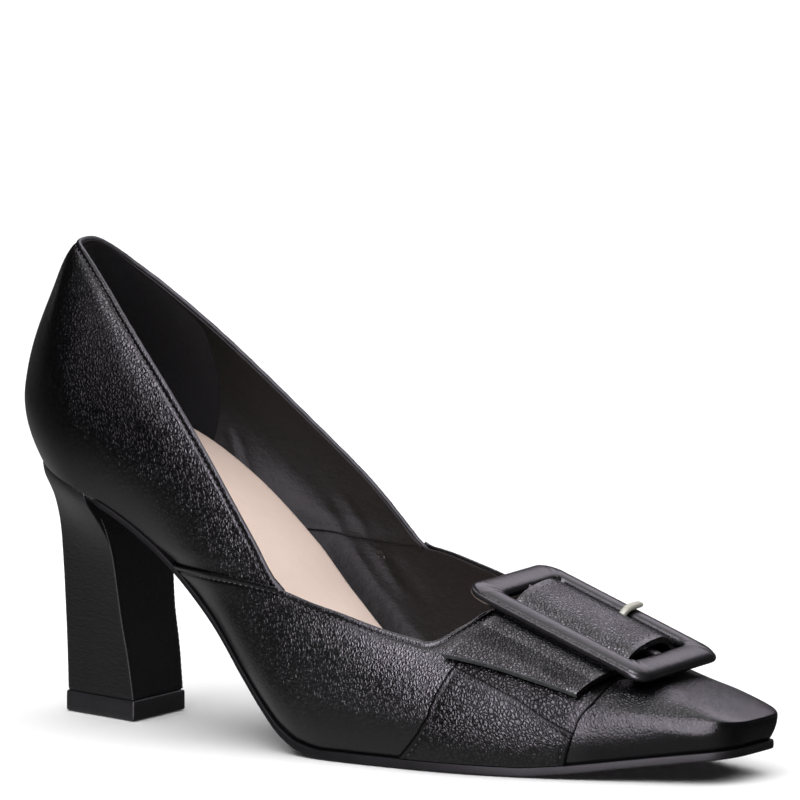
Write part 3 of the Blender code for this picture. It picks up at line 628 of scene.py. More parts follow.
def rubber(name, base, light, rough, shine=0.45):
    m = Nodes(name)
    speck = m.noise(m.coord, 2200.0, 3.0).outputs[0]
    broad = m.noise(m.coord, 160.0, 3.0).outputs[0]
    m.bump(speck, 0.00006, 0.6)
    m.set(Base_Color=m.mix(m.ramp(broad, 0.3, 0.7), base, light))
    m.set(Roughness=m.math("ADD", rough - 0.06, m.math("MULTIPLY", speck, 0.12)), Specular_IOR_Level=shine)
    return m.mat


def raw_edge(name, base, light):
    """Cut edge of leather, with short fibres."""
    m = Nodes(name)
    fibre = m.noise(m.mapped((900.0, 900.0, 2400.0)), 1.0, 4.0, 0.65).outputs[0]
    m.bump(fibre, 0.0002, 0.8)
    m.set(Base_Color=m.mix(m.ramp(fibre, 0.3, 0.7), base, light), Roughness=m.ramp(fibre, 0.2, 0.8, 0.75, 0.95))
    m.set(Specular_IOR_Level=0.3)
    return m.mat


def metal(name, base, light):
    m = Nodes(name)
    brush = m.noise(m.mapped((900.0, 5000.0, 5000.0)), 1.0, 3.0).outputs[0]
    m.bump(brush, 0.00003, 0.5)
    m.set(Base_Color=m.mix(m.ramp(brush, 0.3, 0.7), base, light), Metallic=0.3, Roughness=m.ramp(brush, 0.3, 0.7, 0.42, 0.55))
    return m.mat


def thread(name, base, light):
    m = Nodes(name)
    twist = m.noise(m.coord, 4200.0, 2.0).outputs[0]
    m.bump(twist, 0.0001, 0.8)
    m.set(Base_Color=m.mix(m.ramp(twist, 0.3, 0.7), base, light), Roughness=m.ramp(twist, 0.3, 0.7, 0.5, 0.7))
    return m.mat


BLACK, BLACK_LIGHT = colour(0.0014, 0.0014, 0.0016), colour(0.0036, 0.0034, 0.0040)
VAMP = grained_leather("vamp_leather_look", BLACK, BLACK_LIGHT, 0.24, (0.86, 0.86, 1.45), 0.00011, 19, crack_shade=0.24)
QUARTER = grained_leather("quarter_leather_look", BLACK, BLACK_LIGHT, 0.24, (0.92, 0.92, 1.55), 0.00012, 26, crack_shade=0.30)
BAND = grained_leather("strap_leather_look", BLACK, BLACK_LIGHT, 0.25, (0.82, 0.95, 0.95), 0.00013, 30, crack_shade=0.38)
PANEL = grained_leather("saddle_leather_look", BLACK, BLACK_LIGHT, 0.24, (0.90, 0.90, 1.30), 0.00011, 25, crack_shade=0.46)
WRAP = smooth_leather("buckle_leather_look", colour(0.0030, 0.0029, 0.0032), colour(0.0052, 0.0049, 0.0055), 0.30, (5.0, 1.6, 1.6), 0.00010, shine=0.47)
COVER = smooth_leather("heel_leather_look", colour(0.0020, 0.0019, 0.0022), colour(0.0036, 0.0035, 0.0039), 0.42, (2.6, 2.6, 0.75), 0.00022, shine=0.36)
LINING = smooth_leather("lining_look", colour(0.0060, 0.0050, 0.0045), colour(0.0092, 0.0078, 0.0071), 0.58, (3.4, 3.4, 2.2), 0.00030, shine=0.20)
GRIP = suede("heel_grip_look", colour(0.0020, 0.0020, 0.0025), colour(0.0042, 0.0042, 0.0052))
# the darker rear tone is painted shade, the paler front tone painted light
SOCK = sock_leather("insole_look", colour(0.68, 0.535, 0.465), colour(0.96, 0.79, 0.70), 0.44, (8.0, 3.0, 3.0))
# grey of the rolled cut edge, made lighter than the edge is to stand in for the sheen on the rim: partly painted
# highlight
COLLAR_EDGE = smooth_leather("collar_edge_look", colour(0.046, 0.045, 0.052), colour(0.080, 0.078, 0.090), 0.46, (2.4, 2.4, 2.4), 0.00010, shine=0.22)
EDGE_RAW = raw_edge("raw_edge_look", colour(0.022, 0.026, 0.025), colour(0.05, 0.056, 0.055))
SOLE_BLACK = rubber("outsole_look", colour(0.0036, 0.0035, 0.0039), colour(0.0064, 0.0061, 0.0068), 0.46, shine=0.2)
LIFT = rubber("lift_look", colour(0.0045, 0.0043, 0.0048), colour(0.0070, 0.0067, 0.0074), 0.48)
PRONG = metal("prong_look", colour(0.30, 0.30, 0.25), colour(0.37, 0.37, 0.315))
THREAD = thread("thread_look", colour(0.0075, 0.0072, 0.0080), colour(0.020, 0.019, 0.0215))


# ---- stitches
def stitches(name, line, normal, pitch=1.9, length=1.35, radius=0.21, sink=0.10, mat=None):
    """A row of stitches on a line that lies on the leather."""
    line, normal = np.asarray(line, float), np.asarray(normal, float)
    run = np.append(0.0, np.cumsum(np.linalg.norm(np.diff(line, axis=0), axis=1)))
    at = np.arange(pitch * 0.6, run[-1] - pitch * 0.4, pitch)
    pick = lambda a, s: np.stack([np.interp(s, run, a[:, k]) for k in range(3)], -1)
    v, f, base = [], [], 0
    stops = np.array((-0.5, -0.42, -0.2, 0.2, 0.42, 0.5)) * length
    size = np.array((0.35, 0.8, 1.0, 1.0, 0.8, 0.35)) * radius
    drop = np.array((1.5, 0.7, 0.0, 0.0, 0.7, 1.5)) * radius
    sides = 6
    for s in at:
        rings = []
        for o, r, d in zip(stops, size, drop):
            p = pick(line, [s + o])[0]
            n = pick(normal, [s + o])[0]
            n = n / np.linalg.norm(n)
            t = pick(line, [s + o + 0.05])[0] - pick(line, [s + o - 0.05])[0]
            t = t / max(np.linalg.norm(t), 1e-9)
            b = np.cross(t, n)
            middle = p + n * (radius * 0.25 - sink - d)
            rings.append([middle + b * r * cos(2 * pi * k / sides) + n * r * 0.8 * sin(2 * pi * k / sides) for k in range(sides)])
        ring = np.arange(len(stops) * sides).reshape(-1, sides) + base
        v += [q for row in rings for q in row]
        for a, b2 in zip(ring, ring[1:]):
            f += [[a[k], a[(k + 1) % sides], b2[(k + 1) % sides], b2[k]] for k in range(sides)]
        f += [list(ring[0][::-1]), list(ring[-1])]
        base += len(stops) * sides
    f = [[int(i) for i in q] for q in f]
    return piece(name, np.array(v), f, mat or THREAD)


def beside(line, normal, inside, away):
    """A line that runs beside an edge on the leather: inside points into the panel."""
    line, normal = np.asarray(line, float), np.asarray(normal, float)
    t = np.gradient(line, axis=0)
    t = t / np.maximum(np.linalg.norm(t, axis=1, keepdims=True), 1e-9)
    d = np.cross(normal, t)
    d = d / np.maximum(np.linalg.norm(d, axis=1, keepdims=True), 1e-9)
    d *= np.sign((d * (inside - line)).sum(1, keepdims=True))
    return line + d * away


def settle(line, v, n):
    """Drops a line onto the nearest part of a net and returns it with the net's normals there."""
    out, normal = [], []
    for p in line:
        i = np.argsort(((v - p) ** 2).sum(1))[:4]
        w = 1 / (np.linalg.norm(v[i] - p, axis=1) + 0.05)
        m = (n[i] * w[:, None]).sum(0)
        m = m / np.linalg.norm(m)
        high = ((v[i] - p) @ m * w).sum() / w.sum()
        out.append(p + m * high)
        normal.append(m)
    return np.array(out), np.array(normal)


# ---- soft troughs and ridges, placed on one side of the shoe by length and height
Crease = namedtuple("Crease", "x z to_x to_z depth width")


def creased(v, rows, pick):
    """Height to add at each point for the creases; pick says which points they reach."""
    high = np.zeros(len(v))
    for c in rows:
        a, b = np.array((c.x, c.z)), np.array((c.to_x, c.to_z))
        run = b - a
        t = np.clip(((v[:, (0, 2)] - a) @ run) / (run @ run), 0, 1)
        d = np.linalg.norm(v[:, (0, 2)] - (a + t[:, None] * run), axis=1)
        high += c.depth * np.exp(-(d / c.width) ** 2) * ease(t * 4) * ease((1 - t) * 4)
    return np.where(pick, high, 0.0)


FoldPoint = namedtuple("FoldPoint", "x y z")


def fold(v, line, depth, width, fade=0.22):
    """Height to add along a line on the leather, fading out to both of its ends."""
    line = dense(np.array(line, float), 0.5)
    t = np.linspace(0, 1, len(line))
    reach = ease(t / fade) * ease((1 - t) / fade)
    high = np.zeros(len(v))
    near = np.where((np.abs(v - line.mean(0)) < np.ptp(line, axis=0) / 2 + 4 * width).all(1))[0]
    for part in np.array_split(near, max(len(near) // 2000, 1)):
        d2 = ((v[part][:, None] - line[None]) ** 2).sum(-1)
        i = d2.argmin(1)
        high[part] = depth * np.exp(-d2[np.arange(len(part)), i] / width ** 2) * reach[i]
    return high


# ---- outer leather: quarter and vamp
def heel_to(front, steps, fan=46):
    axis = np.append(np.full(fan, HEEL_AXIS), np.linspace(HEEL_AXIS, front, steps))
    angle = np.append(180 - 90 * np.arange(fan) / fan, np.full(steps, 90.0))
    return axis[:, None], angle[:, None]


def quarter_half(side, trim, low_of, front):
    axis, angle = heel_to(front, 80)
    half = Half(axis, angle, side)
    top = half.collar_level()
    v_at = WING_TOP[side]
    past = axis > v_at
    edge = EDGE[side](v_at)
    dive = half.level_where(lambda p: p[..., 2] < edge + TOPLINE_FALL[side] * (p[..., 0] - v_at))
    top = np.where(past, np.minimum(dive, top), top)
    low = low_of(half)
    low = np.minimum(low, top - 0.01)
    return half.point(section_rows(half, low, top, FINE, COARSE, trim))


TUCKED = -0.045   # level where the panels end, just under the top of the sole's edge


def seam_level(half, drop):
    """Level that lies drop millimetres under the wing's seam, or the sole behind its tip."""
    level = half.level_where(lambda p: p[..., 2] < SEAM[half.side](p[..., 0]) - drop)
    behind = (half.axis < WING_TIP[half.side]) | (half.c < 0)
    return np.where(behind, TUCKED, level)


SEWN = 1.35   # line of stitches from the cut edge of a panel
# the back of the heel is drawn in a little above its fullest part, and stands out again at the collar
BackRow = namedtuple("BackRow", "at out")
BACK = (BackRow(70.0, 0.0), BackRow(80.0, -0.35), BackRow(90.0, -0.65), BackRow(101.0, -0.85), BackRow(108.0, -1.15), BackRow(114.0, -1.35),
        BackRow(119.0, -1.15), BackRow(124.0, -0.35), BackRow(129.0, 0.5))
BACK_OUT = column(BACK, "out")


def drawn_in(v, n):
    return BACK_OUT(v[:, 2]) * ease((-n[:, 0] - 0.1) / 0.5)


def build_quarter():
    net = Sheet()
    grids = [net.add(quarter_half(side, 0.55, lambda h: seam_level(h, 5.0), WING_TOP[side] + 2.4), side > 0) for side in (-1, 1)]
    lat, med = net.weld(*grids)
    n = net.normals()
    v = net.v.copy()
    edge = np.append(lat[::-1, -1], med[1:, -1])
    side = np.where(v[:, 1] < RIDGE(v[:, 0]), -1, 1)
    lift = np.zeros(len(v))
    for s in (-1, 1):
        above = v[:, 2] - SEAM[s](v[:, 0])
        sink = ease((5 - above) / 5) * ease((v[:, 0] - WING_TIP[s] + 8) / 8)
        lift = np.where(side == s, -0.42 * sink, lift)
    d = distance(v, v[edge])
    lift += -0.24 * np.exp(-((d - SEWN) / 0.42) ** 2) + 0.10 * np.exp(-((d - 0.5) / 0.5) ** 2)
    lift += drawn_in(v, n)
    v = v + n * lift[:, None]
    n = normals_of(v, net.f)
    low = v[:, 2] - feather(v[:, 0], v[:, 1])
    grain = 0.25 + 0.75 * ease((low - 4) / 24)
    grain *= 0.40 + 0.60 * ease((v[:, 0] - 5) / 26)
    grain *= 0.5 + 0.5 * ease((d - 1.0) / 2.2)
    pv, pf, src, kinds = thicken(v, net.f, n, 1.1)
    # painted shade along the sewn groove
    painted_shade_and_light = 0.65 * np.exp(-((d - SEWN) / 0.28) ** 2)
    # a painted highlight strip along the collar that widens downwards, painted shade behind it, and a painted highlight
    # towards the front of the quarter
    fall = np.clip((118 - v[:, 2]) / 30, 0, 1)
    upper = ease((v[:, 2] - 62) / 22)
    painted_shade_and_light = np.maximum(painted_shade_and_light, 0.76 * ease((d - 2.2 - 2.0 * fall) / (2.0 + 5.5 * fall)) * upper)
    strip = np.exp(-((d - 2.8 - 1.1 * fall) / (0.9 + 0.9 * fall)) ** 2)
    painted_shade_and_light -= 0.30 * strip * upper * ease((v[:, 0] - 22) / 8)
    painted_shade_and_light -= 0.40 * ease((v[:, 0] - 70) / 14) * ease((d - 2.2) / 1.5)
    piece("quarter", pv, pf, [QUARTER, COLLAR_EDGE], {"grain": grain[src], "painted_shade_and_light": painted_shade_and_light[src]},
          kinds=np.where(kinds == 2, 1, 0), stands_for=["upper"])
    inside = np.append(lat[::-1, -6], med[1:, -6])
    keep = np.where(v[edge][:, 0] < np.where(v[edge][:, 1] < 0, WING_TOP[-1], WING_TOP[1]) - 1.5)[0]
    line = beside(v[edge], n[edge], v[inside], SEWN)[keep]
    line, normal = settle(dense(line, 1.2), v, n)
    stitches("stitches_topline_rear", line, normal)
    return v, n, lat, med


def vamp_half(side, trim):
    x = np.concatenate([np.linspace(WING_TIP[side], WING_TOP[side] - 1, 60)[:-1],
                        np.linspace(WING_TOP[side] - 1, WING_TOP[side] + 1.5, 8)[:-1],
                        np.linspace(WING_TOP[side] + 1.5, THROAT_START, 44)[:-1],
                        THROAT_START + (THROAT_END - THROAT_START) * np.sin(pi / 2 * np.arange(31) / 30)])
    half = Half(x[:, None], 90.0, side)
    top = half.collar_level()
    seam = half.level_where(lambda p: p[..., 2] < SEAM[side](p[..., 0]))
    top = np.where(x[:, None] < WING_TOP[side], np.minimum(seam, top), top)
    rear = half.point(section_rows(half, np.full(top.shape, TUCKED), top, FINE, COARSE, trim))
    axis = np.append(np.linspace(THROAT_END, TOE_AXIS, 62), np.full(46, TOE_AXIS))[:, None]
    angle = np.append(np.full(62, 90.0), 90 - 90 * np.arange(1, 47) / 46)[:, None]
    half = Half(axis, angle, side)
    two = np.full(axis.shape, 2.0)
    front = half.point(section_rows(half, np.full(two.shape, TUCKED), two, FINE, COARSE))
    return rear, front


# pressed toe on the outer side: a flat cut between the ridge over the toes and the side wall
TOE_VALLEY = (FoldPoint(196.0, -23.8, 21.3), FoldPoint(199.3, -22.6, 21.1), FoldPoint(204.3, -20.7, 20.7), FoldPoint(209.4, -19.8, 19.7),
              FoldPoint(213.3, -19.1, 18.9), FoldPoint(217.1, -18.3, 18.1), FoldPoint(222.3, -17.0, 16.5), FoldPoint(226.0, -15.6, 15.4))
TOE_RIDGE = (FoldPoint(200.0, -6.0, 25.6), FoldPoint(204.1, -7.8, 24.3), FoldPoint(208.6, -9.5, 23.1), FoldPoint(215.0, -12.9, 20.9),
             FoldPoint(220.8, -14.7, 18.7), FoldPoint(226.0, -14.6, 16.5))
TOE_WALL = (FoldPoint(190.0, -29.0, 16.6), FoldPoint(193.7, -27.6, 17.0), FoldPoint(203.2, -23.8, 17.6), FoldPoint(210.4, -21.5, 16.3),
            FoldPoint(217.5, -18.9, 14.5), FoldPoint(223.8, -16.1, 13.8), FoldPoint(227.5, -12.5, 13.4))
INNER_SHARE = -0.93   # the same folds on the narrower inner side
TOE_FOLDS = ((TOE_VALLEY, -0.50, 3.4), (TOE_RIDGE, 0.20, 3.2), (TOE_WALL, 0.30, 2.8))


def build_vamp():
    net = Sheet()
    rear, front = {}, {}
    for side in (-1, 1):
        a, b = vamp_half(side, 0.5)
        a[-1, -1] = b[0, -1]
        rear[side], front[side] = net.add(a, side > 0), net.add(b, side > 0)
    rear[-1], rear[1], front[-1], front[1] = net.weld(rear[-1], rear[1], front[-1], front[1], tol=0.02)
    n = net.normals()
    v = net.v.copy()
    edge = np.append(rear[-1][:, -1], rear[1][::-1, -1][1:])
    side = np.where(v[:, 1] < RIDGE(v[:, 0]), -1, 1)
    lift = np.zeros(len(v))
    for s in (-1, 1):
        below = SEAM[s](v[:, 0]) - v[:, 2]
        raised = ease((8 - below) / 8) * (1 - ease((v[:, 0] - WING_TOP[s] + 1) / 9))
        lift = np.where(side == s, 0.55 * raised, lift)
    d = distance(v, v[edge])
    lift += -0.24 * np.exp(-((d - SEWN) / 0.42) ** 2) + 0.10 * np.exp(-((d - 0.5) / 0.5) ** 2)
    for line, depth, width in TOE_FOLDS:
        for share in (1.0, INNER_SHARE):
            lift += fold(v, np.array(line) * (1.0, share, 1.0), depth, width)
    v = v + n * lift[:, None]
    n = normals_of(v, net.f)
    low = v[:, 2] - feather(v[:, 0], v[:, 1])
    grain = 0.25 + 0.75 * ease((low - 3) / 16)
    grain *= 0.30 + 0.70 * ease((v[:, 0] - 66) / 30)
    toe = ease((v[:, 0] - 186) / 9)
    grain *= 1 + 0.10 * toe
    open_side = ease((v[:, 2] - 9) / 11) * ease((v[:, 0] - 100) / 14) * (1 - ease((v[:, 0] - 152) / 8))
    grain *= 1 - 0.15 * open_side
    grain *= 0.5 + 0.5 * ease((d - 1.0) / 2.2)
    wing = 1 - ease((v[:, 0] - np.where(side < 0, WING_TOP[-1], WING_TOP[1])) / 8)
    pv, pf, src, _ = thicken(v, net.f, n, 1.15 - 0.35 * wing)
    # painted shade along the sewn groove and on the sides of the toe, painted highlight on the upper outer side
    painted_shade_and_light = 0.6 * np.exp(-((d - SEWN) / 0.28) ** 2)
    painted_shade_and_light = np.maximum(painted_shade_and_light, 0.42 * toe * (1 - ease((n[:, 2] - 0.62) / 0.25)))
    painted_shade_and_light -= 0.55 * open_side * ease((d - 2.2) / 1.5)
    piece("vamp", pv, pf, VAMP, {"grain": grain[src], "painted_shade_and_light": painted_shade_and_light[src]}, stands_for=["upper"])
    inside = np.append(rear[-1][:, -6], rear[1][::-1, -6][1:])
    line = beside(v[edge], n[edge], v[inside], SEWN)
    line, normal = settle(dense(line[10:-10], 1.2), v, n)
    stitches("stitches_vamp", line, normal)
    return v, n


# ---- saddle panel
def build_saddle():
    levels = np.concatenate([np.linspace(0.02, 1, 34)[:-1], np.linspace(1, 2, 60)])
    sides = [(-1, u) for u in levels] + [(1, u) for u in np.linspace(2, 1.72, 16)[1:]]
    across = np.concatenate([(0, 0.004, 0.012, 0.025, 0.04, 0.06), np.linspace(0.085, 0.915, 40), (0.94, 0.96, 0.975, 0.988, 0.996, 1)])
    rows = []
    for s, u in sides:
        a, b = SADDLE_REAR(u), SADDLE_FRONT(u)
        rows.append(Half(a + (b - a) * across, 90.0, s).point(np.full(len(across), u)))
    grid = np.array(rows)
    net = Sheet()
    ids = net.add(grid, True)
    n = net.normals()
    v = net.v.copy()
    rear, front = v[ids[:, 0]], v[ids[:, -1]]
    d = np.minimum(distance(v, rear), distance(v, front))
    high = 0.42 - 0.10 * np.exp(-((d - 1.7) / 0.45) ** 2)
    v = v + n * high[:, None]
    n = normals_of(v, net.f)
    low = v[:, 2] - feather(v[:, 0], v[:, 1])
    grain = (0.5 + 0.5 * ease((low - 3) / 12)) * (0.6 + 0.4 * ease((d - 1) / 2))
    pv, pf, src, _ = thicken(v, net.f, n, 0.4)
    # painted shade along the cut edges and, more lightly, over the whole panel
    painted_shade_and_light = np.maximum(0.9 * (1 - ease((d - 0.1) / 0.8)), 0.32)
    piece("saddle", pv, pf, PANEL, {"grain": grain[src], "painted_shade_and_light": painted_shade_and_light[src]})


# lower panel of the saddle: its slanting upper edge on the outer side by length and height
SlantRow = namedtuple("SlantRow", "at height")
SLANT = (SlantRow(148.0, 30.0), SlantRow(156.2, 27.1), SlantRow(165.2, 23.9), SlantRow(175.3, 19.8), SlantRow(181.3, 16.5), SlantRow(188.2, 13.1), SlantRow(194.0, 10.4))


def build_saddle_lower():
    edge = column(SLANT, "height", steady_curve)
    near = np.array((0, 0.006, 0.014, 0.025, 0.04, 0.06))
    share = np.concatenate([near, np.linspace(0.085, 0.915, 56), 1 - near[::-1]])
    top = np.full(share.shape, 1.0)
    for _ in range(14):
        x = SADDLE_REAR(top) + (SADDLE_FRONT(top) - SADDLE_REAR(top)) * share
        half = Half(x, 90.0, -1)
        top = half.level_where(lambda p: p[..., 2] < edge(p[..., 0]))
    up = 1 - np.concatenate([(0, 0.008, 0.02, 0.035, 0.055, 0.08), np.linspace(0.11, 1, 36)])[::-1]
    level = 0.02 + (top[:, None] - 0.02) * up[None]
    rear, front = SADDLE_REAR(level), SADDLE_FRONT(level)
    grid = Half(rear + (front - rear) * share[:, None], 90.0, -1).point(level)
    net = Sheet()
    ids = net.add(grid)
    n = net.normals()
    v = net.v.copy()
    sides = {"rear": ids[0], "front": ids[-1], "slant": ids[:, -1]}
    inner = {"rear": ids[8], "front": ids[-9], "slant": ids[:, -8]}
    away = {key: distance(v, v[row]) for key, row in sides.items()}
    d = np.minimum.reduce(list(away.values()))
    high = 0.95 - 0.13 * np.exp(-((d - 1.5) / 0.42) ** 2) + 0.10 * np.exp(-((away["slant"] - 0.5) / 0.5) ** 2)
    v = v + n * high[:, None]
    n = normals_of(v, net.f)
    low = v[:, 2] - feather(v[:, 0], v[:, 1])
    grain = (0.45 + 0.55 * ease((low - 2) / 9)) * (0.5 + 0.5 * ease((d - 0.8) / 1.8))
    pv, pf, src, _ = thicken(v, net.f, n, 0.55, square=0.8)
    # painted shade along the cut edges and in the sewn groove
    painted_shade_and_light = np.maximum(0.9 * (1 - ease((d - 0.1) / 0.8)), 0.7 * np.exp(-((d - 1.5) / 0.36) ** 2))
    piece("saddle_lower", pv, pf, PANEL, {"grain": grain[src], "painted_shade_and_light": painted_shade_and_light[src]})
    for key, row in sides.items():
        line = beside(v[row], n[row], v[inner[key]], 1.5)[3:-3]
        line, normal = settle(dense(line, 1.2), v, n)
        stitches("stitches_saddle_" + key, line, normal, pitch=2.2, length=1.5, radius=0.24)


# ---- lining and heel grip
LINING_CREASES = (
    Crease(41.0, 78.0, 49.0, 61.0, 0.35, 0.9),
    Crease(44.5, 76.0, 52.0, 61.0, -0.3, 0.9),
    Crease(73.0, 61.0, 81.0, 48.0, 0.35, 1.6),
    Crease(77.0, 61.5, 86.0, 48.0, -0.35, 1.5),
)
VAMP_LINING_CREASES = (
    Crease(81.0, 48.0, 91.0, 33.0, 0.40, 1.8),
    Crease(85.5, 48.0, 96.0, 32.0, -0.45, 1.6),
    Crease(90.0, 46.0, 104.0, 30.0, 0.35, 2.2),
)


def inner_low(half):
    x, y = half.plan(half.rho_low(0.4))
    return np.maximum(INSOLE(x) - 2.3, 0.15) / half.belly


def build_lining():
    net = Sheet()

    def low(half):
        level = half.level_where(lambda p: p[..., 2] < SEAM[half.side](p[..., 0]) + 0.2)
        behind = (half.axis < WING_TIP[half.side] + 4) | (half.c < 0)
        return np.where(behind, inner_low(half), np.maximum(level, inner_low(half)))

    grids = [net.add(quarter_half(side, 0.75, low, WING_TOP[side] + 0.2), side > 0) for side in (-1, 1)]
    lat, med = net.weld(*grids)
    n = net.normals()
    v = net.v.copy()
    high = np.full(len(v), -1.12)
    near = np.zeros(len(v))
    for s in (-1, 1):
        above = v[:, 2] - SEAM[s](v[:, 0])
        on = np.where(v[:, 1] < RIDGE(v[:, 0]), -1, 1) == s
        near = np.where(on, ease((6 - above) / 6) * ease((v[:, 0] - WING_TIP[s] + 4) / 8), near)
    high -= 0.75 * near
    high -= creased(v, LINING_CREASES, v[:, 1] > 5) * 0.9
    high += drawn_in(v, n)
    v = v + n * high[:, None]
    n = normals_of(v, net.f)
    pv, pf, _, _ = thicken(v, net.f, n, 0.68)
    piece("lining_rear", pv, pf, LINING)
    for s, ids in ((-1, lat), (1, med)):
        front = np.where((v[ids[:, 0], 0] > WING_TIP[s] + 8) & (v[ids[:, 0], 0] < WING_TOP[s] - 5))[0]
        line = beside(v[ids[front, 0]], n[ids[front, 0]], v[ids[front, 4]], 1.6)
        line, normal = settle(dense(line, 1.2), v, n)
        line = line - normal * 0.68
        stitches("stitches_lining_" + ("outer" if s < 0 else "inner"), line, -normal, pitch=2.3, length=1.5, sink=0.2, mat=GRIP)

    net = Sheet()
    rear, front = {}, {}
    for side in (-1, 1):
        x = np.concatenate([np.linspace(WING_TIP[side] + 5, WING_TOP[side] + 1, 44)[:-1],
                            np.linspace(WING_TOP[side] + 1, THROAT_START, 40)[:-1],
                            THROAT_START + (THROAT_END - THROAT_START) * np.sin(pi / 2 * np.arange(25) / 24)])
        half = Half(x[:, None], 90.0, side)
        top = half.collar_level()
        seam = half.level_where(lambda p: p[..., 2] < SEAM[side](p[..., 0]) + 4.5)
        top = np.where(x[:, None] < WING_TOP[side] + 1, np.minimum(seam, top), top)
        low_l = np.minimum(inner_low(half), top - 0.02)
        a = half.point(section_rows(half, low_l, top, FINE, 26, 0.7))
        axis = np.append(np.linspace(THROAT_END, TOE_AXIS, 40), np.full(24, TOE_AXIS))[:, None]
        angle = np.append(np.full(40, 90.0), 90 - 90 * np.arange(1, 25) / 24)[:, None]
        half = Half(axis, angle, side)
        b = half.point(section_rows(half, inner_low(half), np.full(axis.shape, 2.0), FINE, 26))
        a[-1, -1] = b[0, -1]
        rear[side], front[side] = net.add(a, side > 0), net.add(b, side > 0)
    rear[-1], rear[1], front[-1], front[1] = net.weld(rear[-1], rear[1], front[-1], front[1], tol=0.02)
    n = net.normals()
    v = net.v.copy()
    high = -1.14 - creased(v, VAMP_LINING_CREASES, v[:, 1] > 5) * 0.9
    v = v + n * high[:, None]
    n = normals_of(v, net.f)
    pv, pf, _, _ = thicken(v, net.f, n, 0.62)
    piece("lining_front", pv, pf, LINING)


def build_heel_grip():
    grids = []
    net = Sheet()
    for side in (-1, 1):
        fan = 40
        share = np.append(np.zeros(fan), np.linspace(0, 1, 16))[:, None]
        angle = np.append(180 - 90 * np.arange(fan) / fan, np.full(16, 90.0))[:, None]
        axis = HEEL_AXIS + share * 9.0
        half = Half(axis, angle, side)
        level = section_rows(half, inner_low(half), half.collar_level(), FINE, 30, 1.3)
        up = np.linspace(0, 1, level.shape[1])[None]
        front = 8.6 + 1.4 * np.sin(pi * np.clip(up * 1.15, 0, 1)) - 1.2 * ease((up - 0.8) / 0.2)
        axis = HEEL_AXIS + share * front
        wide = Half(axis, np.broadcast_to(angle, axis.shape), side)
        grids.append(net.add(wide.point(level), side > 0))
    net.weld(*grids)
    n = net.normals()
    v = net.v + n * (drawn_in(net.v, n) - 1.72)[:, None]
    n = normals_of(v, net.f)
    pv, pf, _, _ = thicken(v, net.f, n, 0.22)
    piece("heel_grip", pv, pf, GRIP)


# ---- sock, sole, heel, lift
def around():
    """Stations from the middle of the heel round one side to the middle of the toe."""
    axis = np.concatenate([np.full(40, HEEL_AXIS), np.linspace(HEEL_AXIS, TOE_AXIS, 184), np.full(40, TOE_AXIS)])
    angle = np.concatenate([180 - 90 * np.arange(40) / 40, np.full(184, 90.0), 90 - 90 * np.arange(1, 41) / 40])
    return axis[:, None], angle[:, None]


def build_plate(name, mat, node, loop_of):
    net = Sheet()
    for side in (-1, 1):
        half = Half(*around(), side)
        net.add(loop_of(half), side < 0)
    net.weld()
    return piece(name, net.v, net.f, mat, stands_for=[node])


def sock_loop(half):
    rings = np.array((0.0, 0.15, 0.3, 0.45, 0.58, 0.70, 0.80, 0.87, 0.92, 0.955, 0.98, 0.993, 1.0))
    low, high = 2 * GAP / half.belly, (GAP + INSOLE(half.plan(half.rho_low(0))[0])) / half.belly
    edge_low = half.rho_low(low) - half.side_room(low) + 0.2
    edge_high = half.rho_low(high) - half.side_room(high) + 0.35 + 1.7 * ease((half.axis - 80) / 25)
    x, y = half.plan(edge_low * rings)
    bottom = np.stack([x, y, feather(x, y) + GAP], -1)
    x, y = half.plan(edge_high * rings)
    share = np.broadcast_to(rings, x.shape)
    cup = 1.0 * share ** 5 - 0.9 * ease((share - 0.955) / 0.045) ** 2
    hollow = -0.5 * (1 - share ** 2) * (0.5 + 0.5 * ease((60 - x) / 30))
    top = np.stack([x, y, feather(x, y) + GAP + INSOLE(x) + cup * ease((150 - x) / 40) + hollow * ease((150 - x) / 30)], -1)
    return np.concatenate([bottom, top[:, ::-1]], 1)


def sole_loop(half):
    rings = np.linspace(0, 1, 15)[:-1]
    rho = half.rho_low(0)
    x, _ = half.plan(rho)
    margin = MARGIN(x)
    margin = margin - (margin + 1.2) * (1 - ease((x - 31) / 5))
    a = np.linspace(-0.5, 0.5, 11) * pi
    out = 0.70 + 0.30 * np.cos(a) ** 0.5
    up = (np.sin(a) + 1) / 2
    inner = rho + margin * 0.45
    x, y = half.plan(inner * rings)
    bottom = np.stack([x, y, underside(x, y)], -1)
    x, y = half.plan(rho + margin * out)
    low, high = underside(x, y), feather(x, y) - 0.15
    edge = np.stack([x, y, low + (high - low) * up], -1)
    x, y = half.plan(inner * rings[::-1])
    top = np.stack([x, y, feather(x, y)], -1)
    return np.concatenate([bottom, edge, top], 1)


HEEL_COLUMN = {k: column(HEEL, k, steady_curve) for k in ("back", "front", "half", "wedge")}


